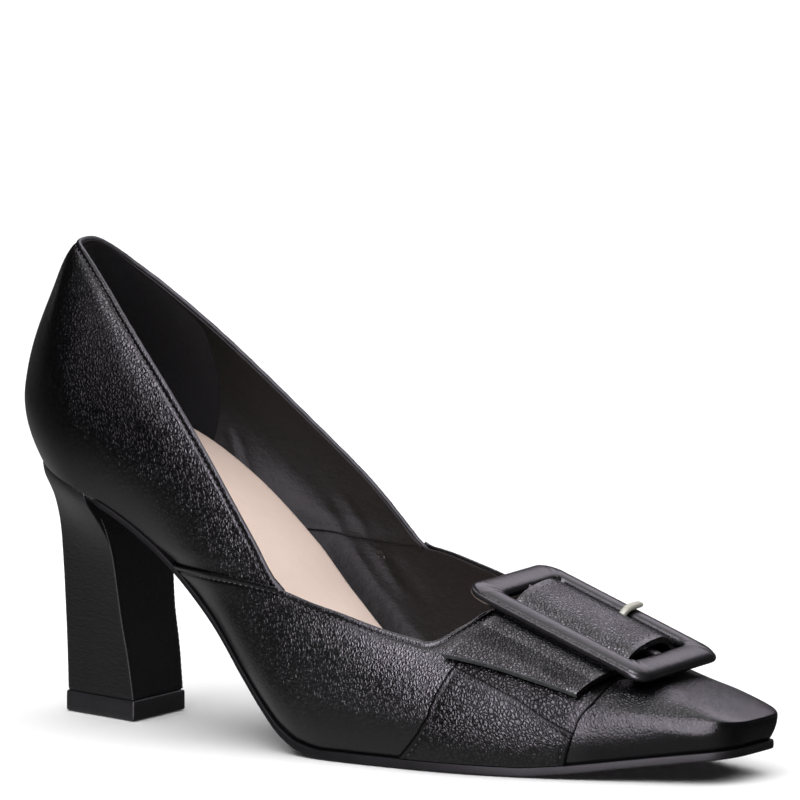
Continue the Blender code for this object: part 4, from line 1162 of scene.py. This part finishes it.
def heel_plan(drop, proud=0.0, corner=0.45):
    """Outline at a share of the drop, from the outer front corner round the back."""
    front, back = HEEL_COLUMN["front"](drop) + proud, HEEL_COLUMN["back"](drop) - proud
    half, wedge = HEEL_COLUMN["half"](drop) + proud, HEEL_COLUMN["wedge"](drop)
    s = np.concatenate([np.linspace(0.02, 0.88, 26), np.linspace(0.895, 1.0, 16)])
    turn = np.clip((s - WEDGE_CORNER) / (1 - WEDGE_CORNER), 0, 1)
    round_plan = (1 - s ** HEEL_ROUND) ** (1 / HEEL_ROUND)
    wedge_plan = (1 - WEDGE_TAPER * s) * (1 - turn ** 3) ** (1 / 3)
    w = half * (round_plan * (1 - wedge) + wedge_plan * wedge)
    x = front + (back - front) * s
    a = np.radians((75, 50, 25, 0))
    cx, cy = front - corner + corner * np.cos(a), half - corner + corner * np.sin(a)
    side = np.stack([np.append(cx[::-1], x), np.append(cy[::-1], w)], -1)
    breast = np.linspace(1, -1, 21)[1:-1] * (half - corner)
    lateral = side * (1, -1)
    return np.concatenate([lateral, side[::-1][1:], np.stack([np.full(len(breast), front), breast], -1)])


def seat_outline(plan):
    """The heel's top outline carried out to the edge of the upper, so that the two lie flush."""
    x, y = plan[:, 0], plan[:, 1]
    y0 = float(RIDGE(HEEL_AXIS))
    angle = np.degrees(np.arctan2(np.maximum(np.abs(y - y0), 1e-6), np.minimum(x - HEEL_AXIS, -1e-6)))
    out = plan.copy()
    for s in (-1, 1):
        fan = Half(np.full(x.shape, HEEL_AXIS), angle, s)
        fx, fy = fan.plan(fan.rho_low(0))
        straight = Half(np.maximum(x, HEEL_AXIS), 90.0, s)
        sy = y * straight.rho_low(0) / HEEL[0].half
        on = (np.sign(y - y0) == s) | ((y == y0) & (s > 0))
        out[:, 0] = np.where(on & (x < HEEL_AXIS), fx, out[:, 0])
        out[:, 1] = np.where(on, np.where(x < HEEL_AXIS, fy, sy), out[:, 1])
    return out


RimRow = namedtuple("RimRow", "inset up")
HEEL_RIM = (RimRow(1.4, 0.10), RimRow(0.7, 0.08), RimRow(0.45, 0.0), RimRow(0.30, -0.15), RimRow(0.24, -0.4))
HEEL_TOP, HEEL_FLUSH = -0.9, 0.36   # top of the drop under the feather line, share of it that blends


def build_heel():
    floor = LIFT_HEIGHT + GAP * 0.5
    rings = []
    seat = seat_outline(heel_plan(0.0))
    middle = np.array((20.0, 0.0))
    away = (seat - middle) / np.linalg.norm(seat - middle, axis=1, keepdims=True)
    for row in HEEL_RIM:
        plan = seat - away * row.inset
        rings.append(np.column_stack([plan, feather(plan[:, 0], plan[:, 1]) + row.up]))
    for drop in np.concatenate([np.linspace(0, 0.3, 30)[:-1], np.linspace(0.3, 0.985, 40), (0.994, 1.0)]):
        keep = max(1 - drop / HEEL_FLUSH, 0.0) ** 2.6
        plan = heel_plan(drop)
        plan = plan + (seat - away * 0.22 - plan) * keep
        top = feather(plan[:, 0], plan[:, 1]) + HEEL_TOP
        tuck = 0.18 * ease((drop - 0.985) / 0.015)
        middle = plan.mean(0)
        plan = middle + (plan - middle) * (1 - tuck / 14)
        rings.append(np.column_stack([plan, top + (floor - top) * drop]))
    grid = np.array(rings)
    net = Sheet()
    ids = net.add(grid, closed=True)
    f = [list(q) for q in net.f.tolist()] + [ids[0].tolist(), ids[-1][::-1].tolist()]
    piece("heel_cover", net.v, f, COVER, stands_for=["heel"])
    # raised cut edges of the cover along the two front corners
    for name, sign in (("heel_edge_outer", -1), ("heel_edge_inner", 1)):
        path = []
        for drop in np.linspace(0.10, 0.996, 120):
            x, w = float(HEEL_COLUMN["front"](drop)), float(HEEL_COLUMN["half"](drop))
            seat = float(underside(x, sign * w)) - GAP
            path.append((x - 0.1, sign * (w - 0.1), seat + (floor - seat) * drop))
        path = np.array(path)
        rings = []
        for k, p in enumerate(path):
            wave = 0.20 + 0.05 * sin(k * 1.7) + 0.04 * sin(k * 3.1 + 1) - 0.12 * max(0, 1 - k / 12)
            rings.append([p + np.array((wave * cos(2 * pi * j / 8) * 0.9, sign * wave * sin(2 * pi * j / 8) * 0.9, 0)) for j in range(8)])
        net = Sheet()
        ids = net.add(np.array(rings), flip=sign > 0, closed=True)
        f = [list(q) for q in net.f.tolist()] + [ids[0].tolist(), ids[-1][::-1].tolist()]
        piece(name, net.v, f, EDGE_RAW)


def build_lift():
    outline = heel_plan(1.0, LIFT_PROUD, 0.5)
    middle = outline.mean(0)
    rings = []
    for z, inset in ((0.0, 0.5), (0.12, 0.2), (0.4, 0.0), (1.6, 0.0), (3.4, 0.0), (4.9, 0.0), (5.22, 0.12), (LIFT_HEIGHT, 0.4)):
        plan = middle + (outline - middle) * (1 - inset / 14)
        rings.append(np.column_stack([plan, np.full(len(plan), z)]))
    net = Sheet()
    ids = net.add(np.array(rings[::-1]), closed=True)
    f = [list(q) for q in net.f.tolist()] + [ids[0].tolist(), ids[-1][::-1].tolist()]
    obj = piece("lift", net.v, f, LIFT, stands_for=["top_lift"])
    return obj


# ---- buckle, strap, prong
PITCH, ROLL = radians(BUCKLE_PITCH), radians(BUCKLE_ROLL)
B_ALONG = np.array((cos(PITCH), 0.0, -sin(PITCH)))
B_ACROSS = np.array((0.0, cos(ROLL), -sin(ROLL)))
B_ACROSS = B_ACROSS - B_ALONG * (B_ACROSS @ B_ALONG)
B_ACROSS = B_ACROSS / np.linalg.norm(B_ACROSS)
B_UP = np.cross(B_ALONG, B_ACROSS)


def in_frame(along, across, up):
    along, across, up = np.broadcast_arrays(*(np.asarray(a, float) for a in (along, across, up)))
    return BUCKLE_AT + along[..., None] * B_ALONG + across[..., None] * B_ACROSS + up[..., None] * B_UP


def rounded_rectangle(half_long, half_wide, corner, steps, straight):
    pts, way = [], []
    corners = ((1, 1, 0), (-1, 1, 90), (-1, -1, 180), (1, -1, 270))
    arcs = []
    for sx, sy, start in corners:
        a = np.radians(start + 90 * np.arange(steps) / (steps - 1))
        arcs.append(np.stack([sx * (half_long - corner) + corner * np.cos(a), sy * (half_wide - corner) + corner * np.sin(a)], -1))
    for k in range(4):
        pts.append(arcs[k])
        a, b = arcs[k][-1], arcs[(k + 1) % 4][0]
        pts.append(a + (b - a) * (np.arange(1, straight) / straight)[:, None])
    return np.concatenate(pts)


# section of the covered bar: place from the window to the outside, height on the long sides
# with their sewn lip, place and height on the rolled ends
BarPoint = namedtuple("BarPoint", "lip_at lip_up roll_at roll_up")
BAR = (
    BarPoint(0.05, -0.55, 0.06, -0.55), BarPoint(0.00, -0.05, 0.01, -0.10), BarPoint(0.03, 0.42, 0.02, 0.32), BarPoint(0.12, 0.78, 0.09, 0.64),
    BarPoint(0.26, 0.96, 0.20, 0.86), BarPoint(0.42, 1.00, 0.35, 0.98), BarPoint(0.57, 0.94, 0.50, 1.00), BarPoint(0.70, 0.81, 0.64, 0.95),
    BarPoint(0.80, 0.65, 0.77, 0.82), BarPoint(0.875, 0.48, 0.87, 0.63), BarPoint(0.905, 0.34, 0.94, 0.42), BarPoint(0.925, 0.24, 0.98, 0.20),
    BarPoint(0.975, 0.10, 1.00, 0.00), BarPoint(1.00, -0.15, 0.99, -0.25), BarPoint(0.99, -0.50, 0.95, -0.52), BarPoint(0.90, -0.84, 0.86, -0.80),
    BarPoint(0.70, -1.00, 0.68, -0.98), BarPoint(0.30, -1.00, 0.32, -0.98), BarPoint(0.13, -0.84, 0.14, -0.82),
)


def bar_curve(name, u):
    loop = np.array([getattr(p, name) for p in BAR])
    return smooth_curve(np.arange(-3, len(BAR) + 3), np.concatenate([loop[-3:], loop, loop[:3]]))(u)


def build_buckle():
    steps, straight = 14, 34
    outer = rounded_rectangle(BUCKLE_LONG / 2, BUCKLE_WIDE / 2, BUCKLE_CORNER, steps, straight)
    inner = rounded_rectangle(BUCKLE_LONG / 2 - BUCKLE_END, BUCKLE_WIDE / 2 - BUCKLE_BAR, BUCKLE_INNER_CORNER, steps, straight)
    u = np.linspace(0, len(BAR), 76, endpoint=False)
    lip = ease((np.abs(outer[:, 1]) - BUCKLE_WIDE / 2 + BUCKLE_CORNER) / BUCKLE_CORNER)[:, None]
    at = bar_curve("lip_at", u) * lip + bar_curve("roll_at", u) * (1 - lip)
    up = bar_curve("lip_up", u) * lip + bar_curve("roll_up", u) * (1 - lip)
    # gathers of the cover that run out from the inner corners
    k = np.arange(len(outer)) % (steps + straight - 1)
    turn = np.where(k < steps, k / (steps - 1), 0.0)[:, None]
    gather = np.sin(turn * 5 * pi) * np.sin(turn * pi) ** 0.5 * np.clip(1 - at, 0, 1) * ease((up + 0.2) / 0.6)
    up = (up + 0.05 * gather) * BUCKLE_THICK / 2
    flat = inner[:, None] + (outer - inner)[:, None] * at[..., None]
    grid = in_frame(flat[..., 0], flat[..., 1], up)
    grid = np.concatenate([grid, grid[:1]])
    net = Sheet()
    net.add(grid, closed=True)
    net.weld()
    n = net.normals()
    if ((net.v - net.v.mean(0)) * n).sum() < 0:
        net.f = net.f[:, ::-1]
    piece("buckle_cover", net.v, net.f, WRAP, stands_for=["buckle"])
    # fine sewing on the near lip and along the far side's inner edge
    long = BUCKLE_LONG / 2 - BUCKLE_CORNER * 0.7
    window = BUCKLE_WIDE / 2 - BUCKLE_BAR
    run = np.linspace(-long, long, 120)
    near = in_frame(run, -(window + BUCKLE_BAR * 0.90), 0.37 * BUCKLE_THICK / 2)
    stitches("stitches_buckle_near", near, np.tile(B_UP * 0.5 - B_ACROSS, (len(run), 1)), pitch=1.7, length=1.15, radius=0.17, sink=0.05, mat=WRAP)
    run = np.linspace(-BUCKLE_LONG / 2 + BUCKLE_END + 1.5, BUCKLE_LONG / 2 - BUCKLE_END - 1.5, 100)
    far = in_frame(run, window + 0.02, 0.42 * BUCKLE_THICK / 2)
    stitches("stitches_buckle_far", far, np.tile(-B_ACROSS, (len(run), 1)), pitch=1.7, length=1.15, radius=0.17, sink=0.05, mat=WRAP)
    reach = BUCKLE_LONG / 2 - BUCKLE_END * 0.6
    a = 2 * pi * np.arange(20) / 20
    stops = np.linspace(-reach, reach, 24)
    grid = np.array([in_frame(s, CENTRE_BAR_RADIUS * np.cos(a), -CENTRE_BAR_DROP + CENTRE_BAR_RADIUS * np.sin(a)) for s in stops])
    net = Sheet()
    ids = net.add(grid, closed=True)
    f = [list(q) for q in net.f.tolist()] + [ids[0].tolist(), ids[-1][::-1].tolist()]
    piece("buckle_centre_bar", net.v, f, WRAP)


def strap_on_side(x_frame, side, y, down):
    x = x_frame - STRAP_SWEEP * (y - BLEND_FROM + 4)
    half = Half(x - STRAP_SWEEP * 8 * down, 90.0, side)
    level = half.level_at(side * np.minimum(y, half.reach - 1.2))
    level = level + (0.16 - level) * down
    p = half.point(level)
    along = half.point(np.minimum(level + 0.01, 2)) - half.point(level - 0.01)
    ahead = Half(half.axis + 0.2, 90.0, side).point(level) - p
    n = np.cross(ahead, along) * -side
    n = n / np.linalg.norm(n, axis=-1, keepdims=True)
    return p + n * (GAP + STRAP_THICK / 2 + STRAP_LIFT[side])


def strap_middle(along, way):
    along, way = np.broadcast_arrays(along, way)
    x_frame = BUCKLE_AT[0] + along * B_ALONG[0]
    across = np.clip(way, -1, 1) * BLEND_TO
    flat = in_frame(along, across - BUCKLE_AT[1], ARCH_HEIGHT(across - BUCKLE_AT[1]))
    t = ease((np.abs(across) - BLEND_FROM) / (BLEND_TO - BLEND_FROM))[..., None]
    end = STRAP_END_REAR + (STRAP_END_FRONT - STRAP_END_REAR) * ((along - STRAP_SHIFT) / STRAP_HALF + 1) / 2
    y = np.where(way < -1, BLEND_TO + (end - BLEND_TO) * (-way - 1), np.abs(across))
    outer = strap_on_side(x_frame, -1, y, np.zeros_like(y))
    inner = strap_on_side(x_frame, 1, y, np.clip(way - 1, 0, 1))
    return flat * (1 - t) + np.where((way < 0)[..., None], outer, inner) * t


def build_strap():
    edge = np.array((0, 0.004, 0.012, 0.025, 0.045, 0.07))
    share = np.concatenate([edge, np.linspace(0.1, 0.9, 40), 1 - edge[::-1]])
    along = STRAP_SHIFT + STRAP_HALF * (-1 + 2 * share) * 0.99
    way = np.concatenate([np.linspace(-2, -1, 26)[:-1], np.linspace(-1, 1, 150), np.linspace(1, 2, 46)[1:]])
    net = Sheet()
    mid = strap_middle(along[None], way[:, None])
    ids = net.add(mid, True)
    n = net.normals()
    d = np.minimum(share, 1 - share)[None] * 2 * STRAP_HALF + 0 * way[:, None]
    top = STRAP_THICK / 2 - 0.15 * np.exp(-((d - 2.1) / 0.45) ** 2)
    v = net.v + n * top.reshape(-1, 1)
    n2 = normals_of(v, net.f)
    way_of = np.repeat(way, len(along))
    grain = np.where(np.abs(way_of) < 0.55, 0.95, 1.0) * (0.6 + 0.4 * ease((d.reshape(-1) - 1) / 2))
    outer, ahead = np.clip(-way_of - 1, 0, 1), np.tile(share, len(way))
    # painted shade on the outer part next to the buckle's near bar, painted highlight over the rest of the strap and at
    # the front of its outer end
    painted_shade_and_light = np.where(way_of < -0.9, 0.65 * (1 - ease(outer / 0.45)), 0.0)
    painted_shade_and_light -= np.where(way_of < -0.9, 0.36, 0.65)
    painted_shade_and_light -= 0.45 * ease((ahead - 0.65) / 0.25) * ease((outer - 0.4) / 0.4)
    pv, pf, src, kinds = thicken(v, net.f, n2, STRAP_THICK, bulge=0.22, square=0.55, steps=8)
    end = np.array([way_of[src[q]].max() < -1.985 for q in pf])
    piece("strap_band", pv, pf, [BAND, EDGE_RAW], {"grain": grain[src], "painted_shade_and_light": painted_shade_and_light[src]},
          kinds=np.where((kinds == 2) & end, 1, 0), stands_for=["strap"])
    for name, edge, inner in (("rear", 0, 8), ("front", -1, -9)):
        line = beside(v[ids[:, edge]], n2[ids[:, edge]], v[ids[:, inner]], 2.1)
        line, normal = settle(dense(line, 1.2), v, n2)
        stitches("stitches_strap_" + name, line, normal, pitch=2.4, length=1.7)


ProngPoint = namedtuple("ProngPoint", "across up wide tall")
PRONG_AT = 1.8
PRONG_RUN = (
    ProngPoint(4.4, -0.2, 0.9, 0.8), ProngPoint(7.2, 0.0, 0.95, 0.8), ProngPoint(9.6, 0.4, 1.0, 0.8), ProngPoint(11.1, 1.6, 1.1, 0.8), ProngPoint(12.5, 2.55, 1.1, 0.8),
    ProngPoint(14.4, 2.9, 1.1, 0.8), ProngPoint(17.0, 2.95, 1.05, 0.8), ProngPoint(19.4, 2.85, 0.95, 0.6),
)


def build_prong():
    hook = CENTRE_BAR_RADIUS + GAP + 0.7
    turn = np.radians(np.arange(195, 346, 10))
    c = np.append(hook * np.cos(turn), [p.across for p in PRONG_RUN])
    u = np.append(-CENTRE_BAR_DROP + hook * np.sin(turn), [p.up for p in PRONG_RUN])
    wide = np.append(np.full(len(turn), 0.7), [p.wide for p in PRONG_RUN])
    tall = np.append(np.full(len(turn), 0.7), [p.tall for p in PRONG_RUN])
    run = np.append(0, np.cumsum(np.hypot(np.diff(c), np.diff(u))))
    at = np.linspace(0, run[-1], 70)
    c, u, wide, tall = (smooth_curve(run, a)(at) for a in (c, u, wide, tall))
    dc, du = np.gradient(c), np.gradient(u)
    size = np.hypot(dc, du)
    dc, du = dc / size, du / size
    from_end = np.minimum(at, at[-1] - at)
    cap = np.sqrt(np.clip(1 - np.clip(1 - from_end / 0.55, 0, 1) ** 2, 0.04, 1))
    a = 2 * pi * np.arange(20) / 20
    sq = lambda t: np.sign(t) * np.abs(t) ** 0.75
    grid = np.array([in_frame(PRONG_AT + w * k * sq(np.cos(a)), cc - d2 * t * k * sq(np.sin(a)), uu + d1 * t * k * sq(np.sin(a)))
                     for cc, uu, d1, d2, w, t, k in zip(c, u, dc, du, wide, tall, cap)])
    net = Sheet()
    ids = net.add(grid, closed=True)
    f = [list(q) for q in net.f.tolist()] + [ids[0].tolist(), ids[-1][::-1].tolist()]
    piece("prong_tongue", net.v, f, PRONG, stands_for=["prong"])


build_quarter()
build_vamp()
build_saddle()
build_saddle_lower()
build_lining()
build_heel_grip()
build_plate("insole_sock", SOCK, "insole", sock_loop)
build_plate("outsole_edge", SOLE_BLACK, "outsole", sole_loop)
build_heel()
build_lift()
build_buckle()
build_strap()
build_prong()


# ---- floor, light, camera
def pale_floor():
    m = Nodes("floor_look")
    soft = m.noise(m.coord, 3.0, 2.0).outputs[0]
    m.set(Base_Color=m.mix(soft, colour(0.90, 0.90, 0.90), colour(0.92, 0.92, 0.92)), Roughness=0.9, Specular_IOR_Level=0.1)
    mesh = bpy.data.meshes.new("floor")
    r = 14.0
    mesh.from_pydata([(-r, -r, 0), (r, -r, 0), (r, r, 0), (-r, r, 0)], [], [(0, 1, 2, 3)])
    mesh.materials.append(m.mat)
    floor = bpy.data.objects.new("floor", mesh)
    floor.location.z = -0.0002
    bpy.context.scene.collection.objects.link(floor)
    floor.visible_glossy = False
    floor.visible_shadow = False


def area_light(name, at, to, size, power, tint=(1.0, 1.0, 1.0)):
    data = bpy.data.lights.new(name, "AREA")
    data.shape, data.size, data.size_y = "RECTANGLE", size[0], size[1]
    data.energy, data.color = power, tint
    obj = bpy.data.objects.new(name, data)
    obj.location = at
    obj.rotation_mode = "QUATERNION"
    obj.rotation_quaternion = (Vector(to) - Vector(at)).to_track_quat("-Z", "Y")
    bpy.context.scene.collection.objects.link(obj)
    return obj


def sun_light(name, towards, strength, angle):
    data = bpy.data.lights.new(name, "SUN")
    data.energy, data.angle = strength, radians(angle)
    obj = bpy.data.objects.new(name, data)
    obj.rotation_mode = "QUATERNION"
    obj.rotation_quaternion = Vector(towards).to_track_quat("-Z", "Y")
    bpy.context.scene.collection.objects.link(obj)
    return obj


# brightness of the room round the shoe for the height that a direction points to: from the
# horizon up, and below it on the side of the key light
SkyStop = namedtuple("SkyStop", "height level")
ROOM = (SkyStop(-0.015, 0.0), SkyStop(0.0, 0.5), SkyStop(0.025, 0.5), SkyStop(0.045, 0.03), SkyStop(1.0, 0.03))
GROUND = (SkyStop(-1.0, 0.50), SkyStop(-0.45, 0.45), SkyStop(-0.17, 0.22), SkyStop(-0.03, 0.04), SkyStop(0.0, 0.0))
KEY_SIDE = (-0.62, -0.78, 0.0)

pale_floor()
for plain in (sun_light("overhead", (-0.15, 0.05, -1.0), 4.2, 100),
              area_light("side", (-0.1, -0.8, 0.8), (0.0, 0.0, 0.04), (0.8, 0.8), 3.0)):
    plain.visible_glossy = False
    plain.visible_camera = False
# soft boxes that show as sheen on the leather
for sheen in (sun_light("ceiling", (0.10, 0.05, -1.0), 0.85, 50),
              area_light("key", (0.344, -1.127, 0.549), (0.0, 0.0, 0.0), (0.84, 2.6), 70.0, (1.05, 0.96, 1.10)),
              area_light("rear", (-0.33, 0.906, 1.15), (0.05, 0.0, 0.03), (1.2, 1.09), 9.5, (1.05, 0.96, 1.10))):
    sheen.visible_diffuse = False
    sheen.visible_camera = False
world = bpy.data.worlds.new("studio")
world.use_nodes = True
sky = world.node_tree
direction = sky.nodes.new("ShaderNodeTexCoord").outputs["Generated"]
upward = sky.nodes.new("ShaderNodeSeparateXYZ")
sky.links.new(direction, upward.inputs[0])
share = sky.nodes.new("ShaderNodeMapRange")
share.inputs["From Min"].default_value = -1.0
sky.links.new(upward.outputs["Z"], share.inputs["Value"])


def sky_ramp(stops):
    ramp = sky.nodes.new("ShaderNodeValToRGB")
    for _ in stops[2:]:
        ramp.color_ramp.elements.new(0.5)
    for element, stop in zip(ramp.color_ramp.elements, stops):
        element.position = (stop.height + 1) / 2
        element.color = (stop.level, stop.level, stop.level, 1.0)
    sky.links.new(share.outputs[0], ramp.inputs[0])
    return ramp.outputs[0]


side = sky.nodes.new("ShaderNodeVectorMath")
side.operation = "DOT_PRODUCT"
side.inputs[1].default_value = KEY_SIDE
sky.links.new(direction, side.inputs[0])
lit = sky.nodes.new("ShaderNodeMapRange")
lit.interpolation_type = "SMOOTHSTEP"
for key, value in (("From Min", -0.7), ("From Max", 0.3), ("To Min", 0.15), ("To Max", 1.0)):
    lit.inputs[key].default_value = value
sky.links.new(side.outputs["Value"], lit.inputs["Value"])
total = sky.nodes.new("ShaderNodeMath")
total.operation = "MULTIPLY_ADD"
for socket, source in zip(total.inputs, (sky_ramp(GROUND), lit.outputs[0], sky_ramp(ROOM))):
    sky.links.new(source, socket)
sky.links.new(total.outputs[0], sky.nodes["Background"].inputs["Strength"])
sky.nodes["Background"].inputs["Color"].default_value = (1.0, 1.0, 1.0, 1.0)
bpy.context.scene.world = world
bpy.context.scene.view_settings.view_transform = "Standard"

VIEW_RIGHT = Vector((0.84035, 0.54204, 0.0))
VIEW_UP = Vector((-0.07544, 0.11695, 0.99027))
VIEW_BACK = Vector((0.53677, -0.83217, 0.13917))
camera = bpy.data.cameras.new("camera")
camera.lens, camera.sensor_width = 607.457, 36.0
camera.clip_start, camera.clip_end = 0.1, 60.0
camera_object = bpy.data.objects.new("camera", camera)
camera_object.matrix_world = Matrix((
    (VIEW_RIGHT.x, VIEW_UP.x, VIEW_BACK.x, 1.94308),
    (VIEW_RIGHT.y, VIEW_UP.y, VIEW_BACK.y, -3.01158),
    (VIEW_RIGHT.z, VIEW_UP.z, VIEW_BACK.z, 0.59614),
    (0, 0, 0, 1)))
bpy.context.scene.collection.objects.link(camera_object)
bpy.context.scene.camera = camera_object
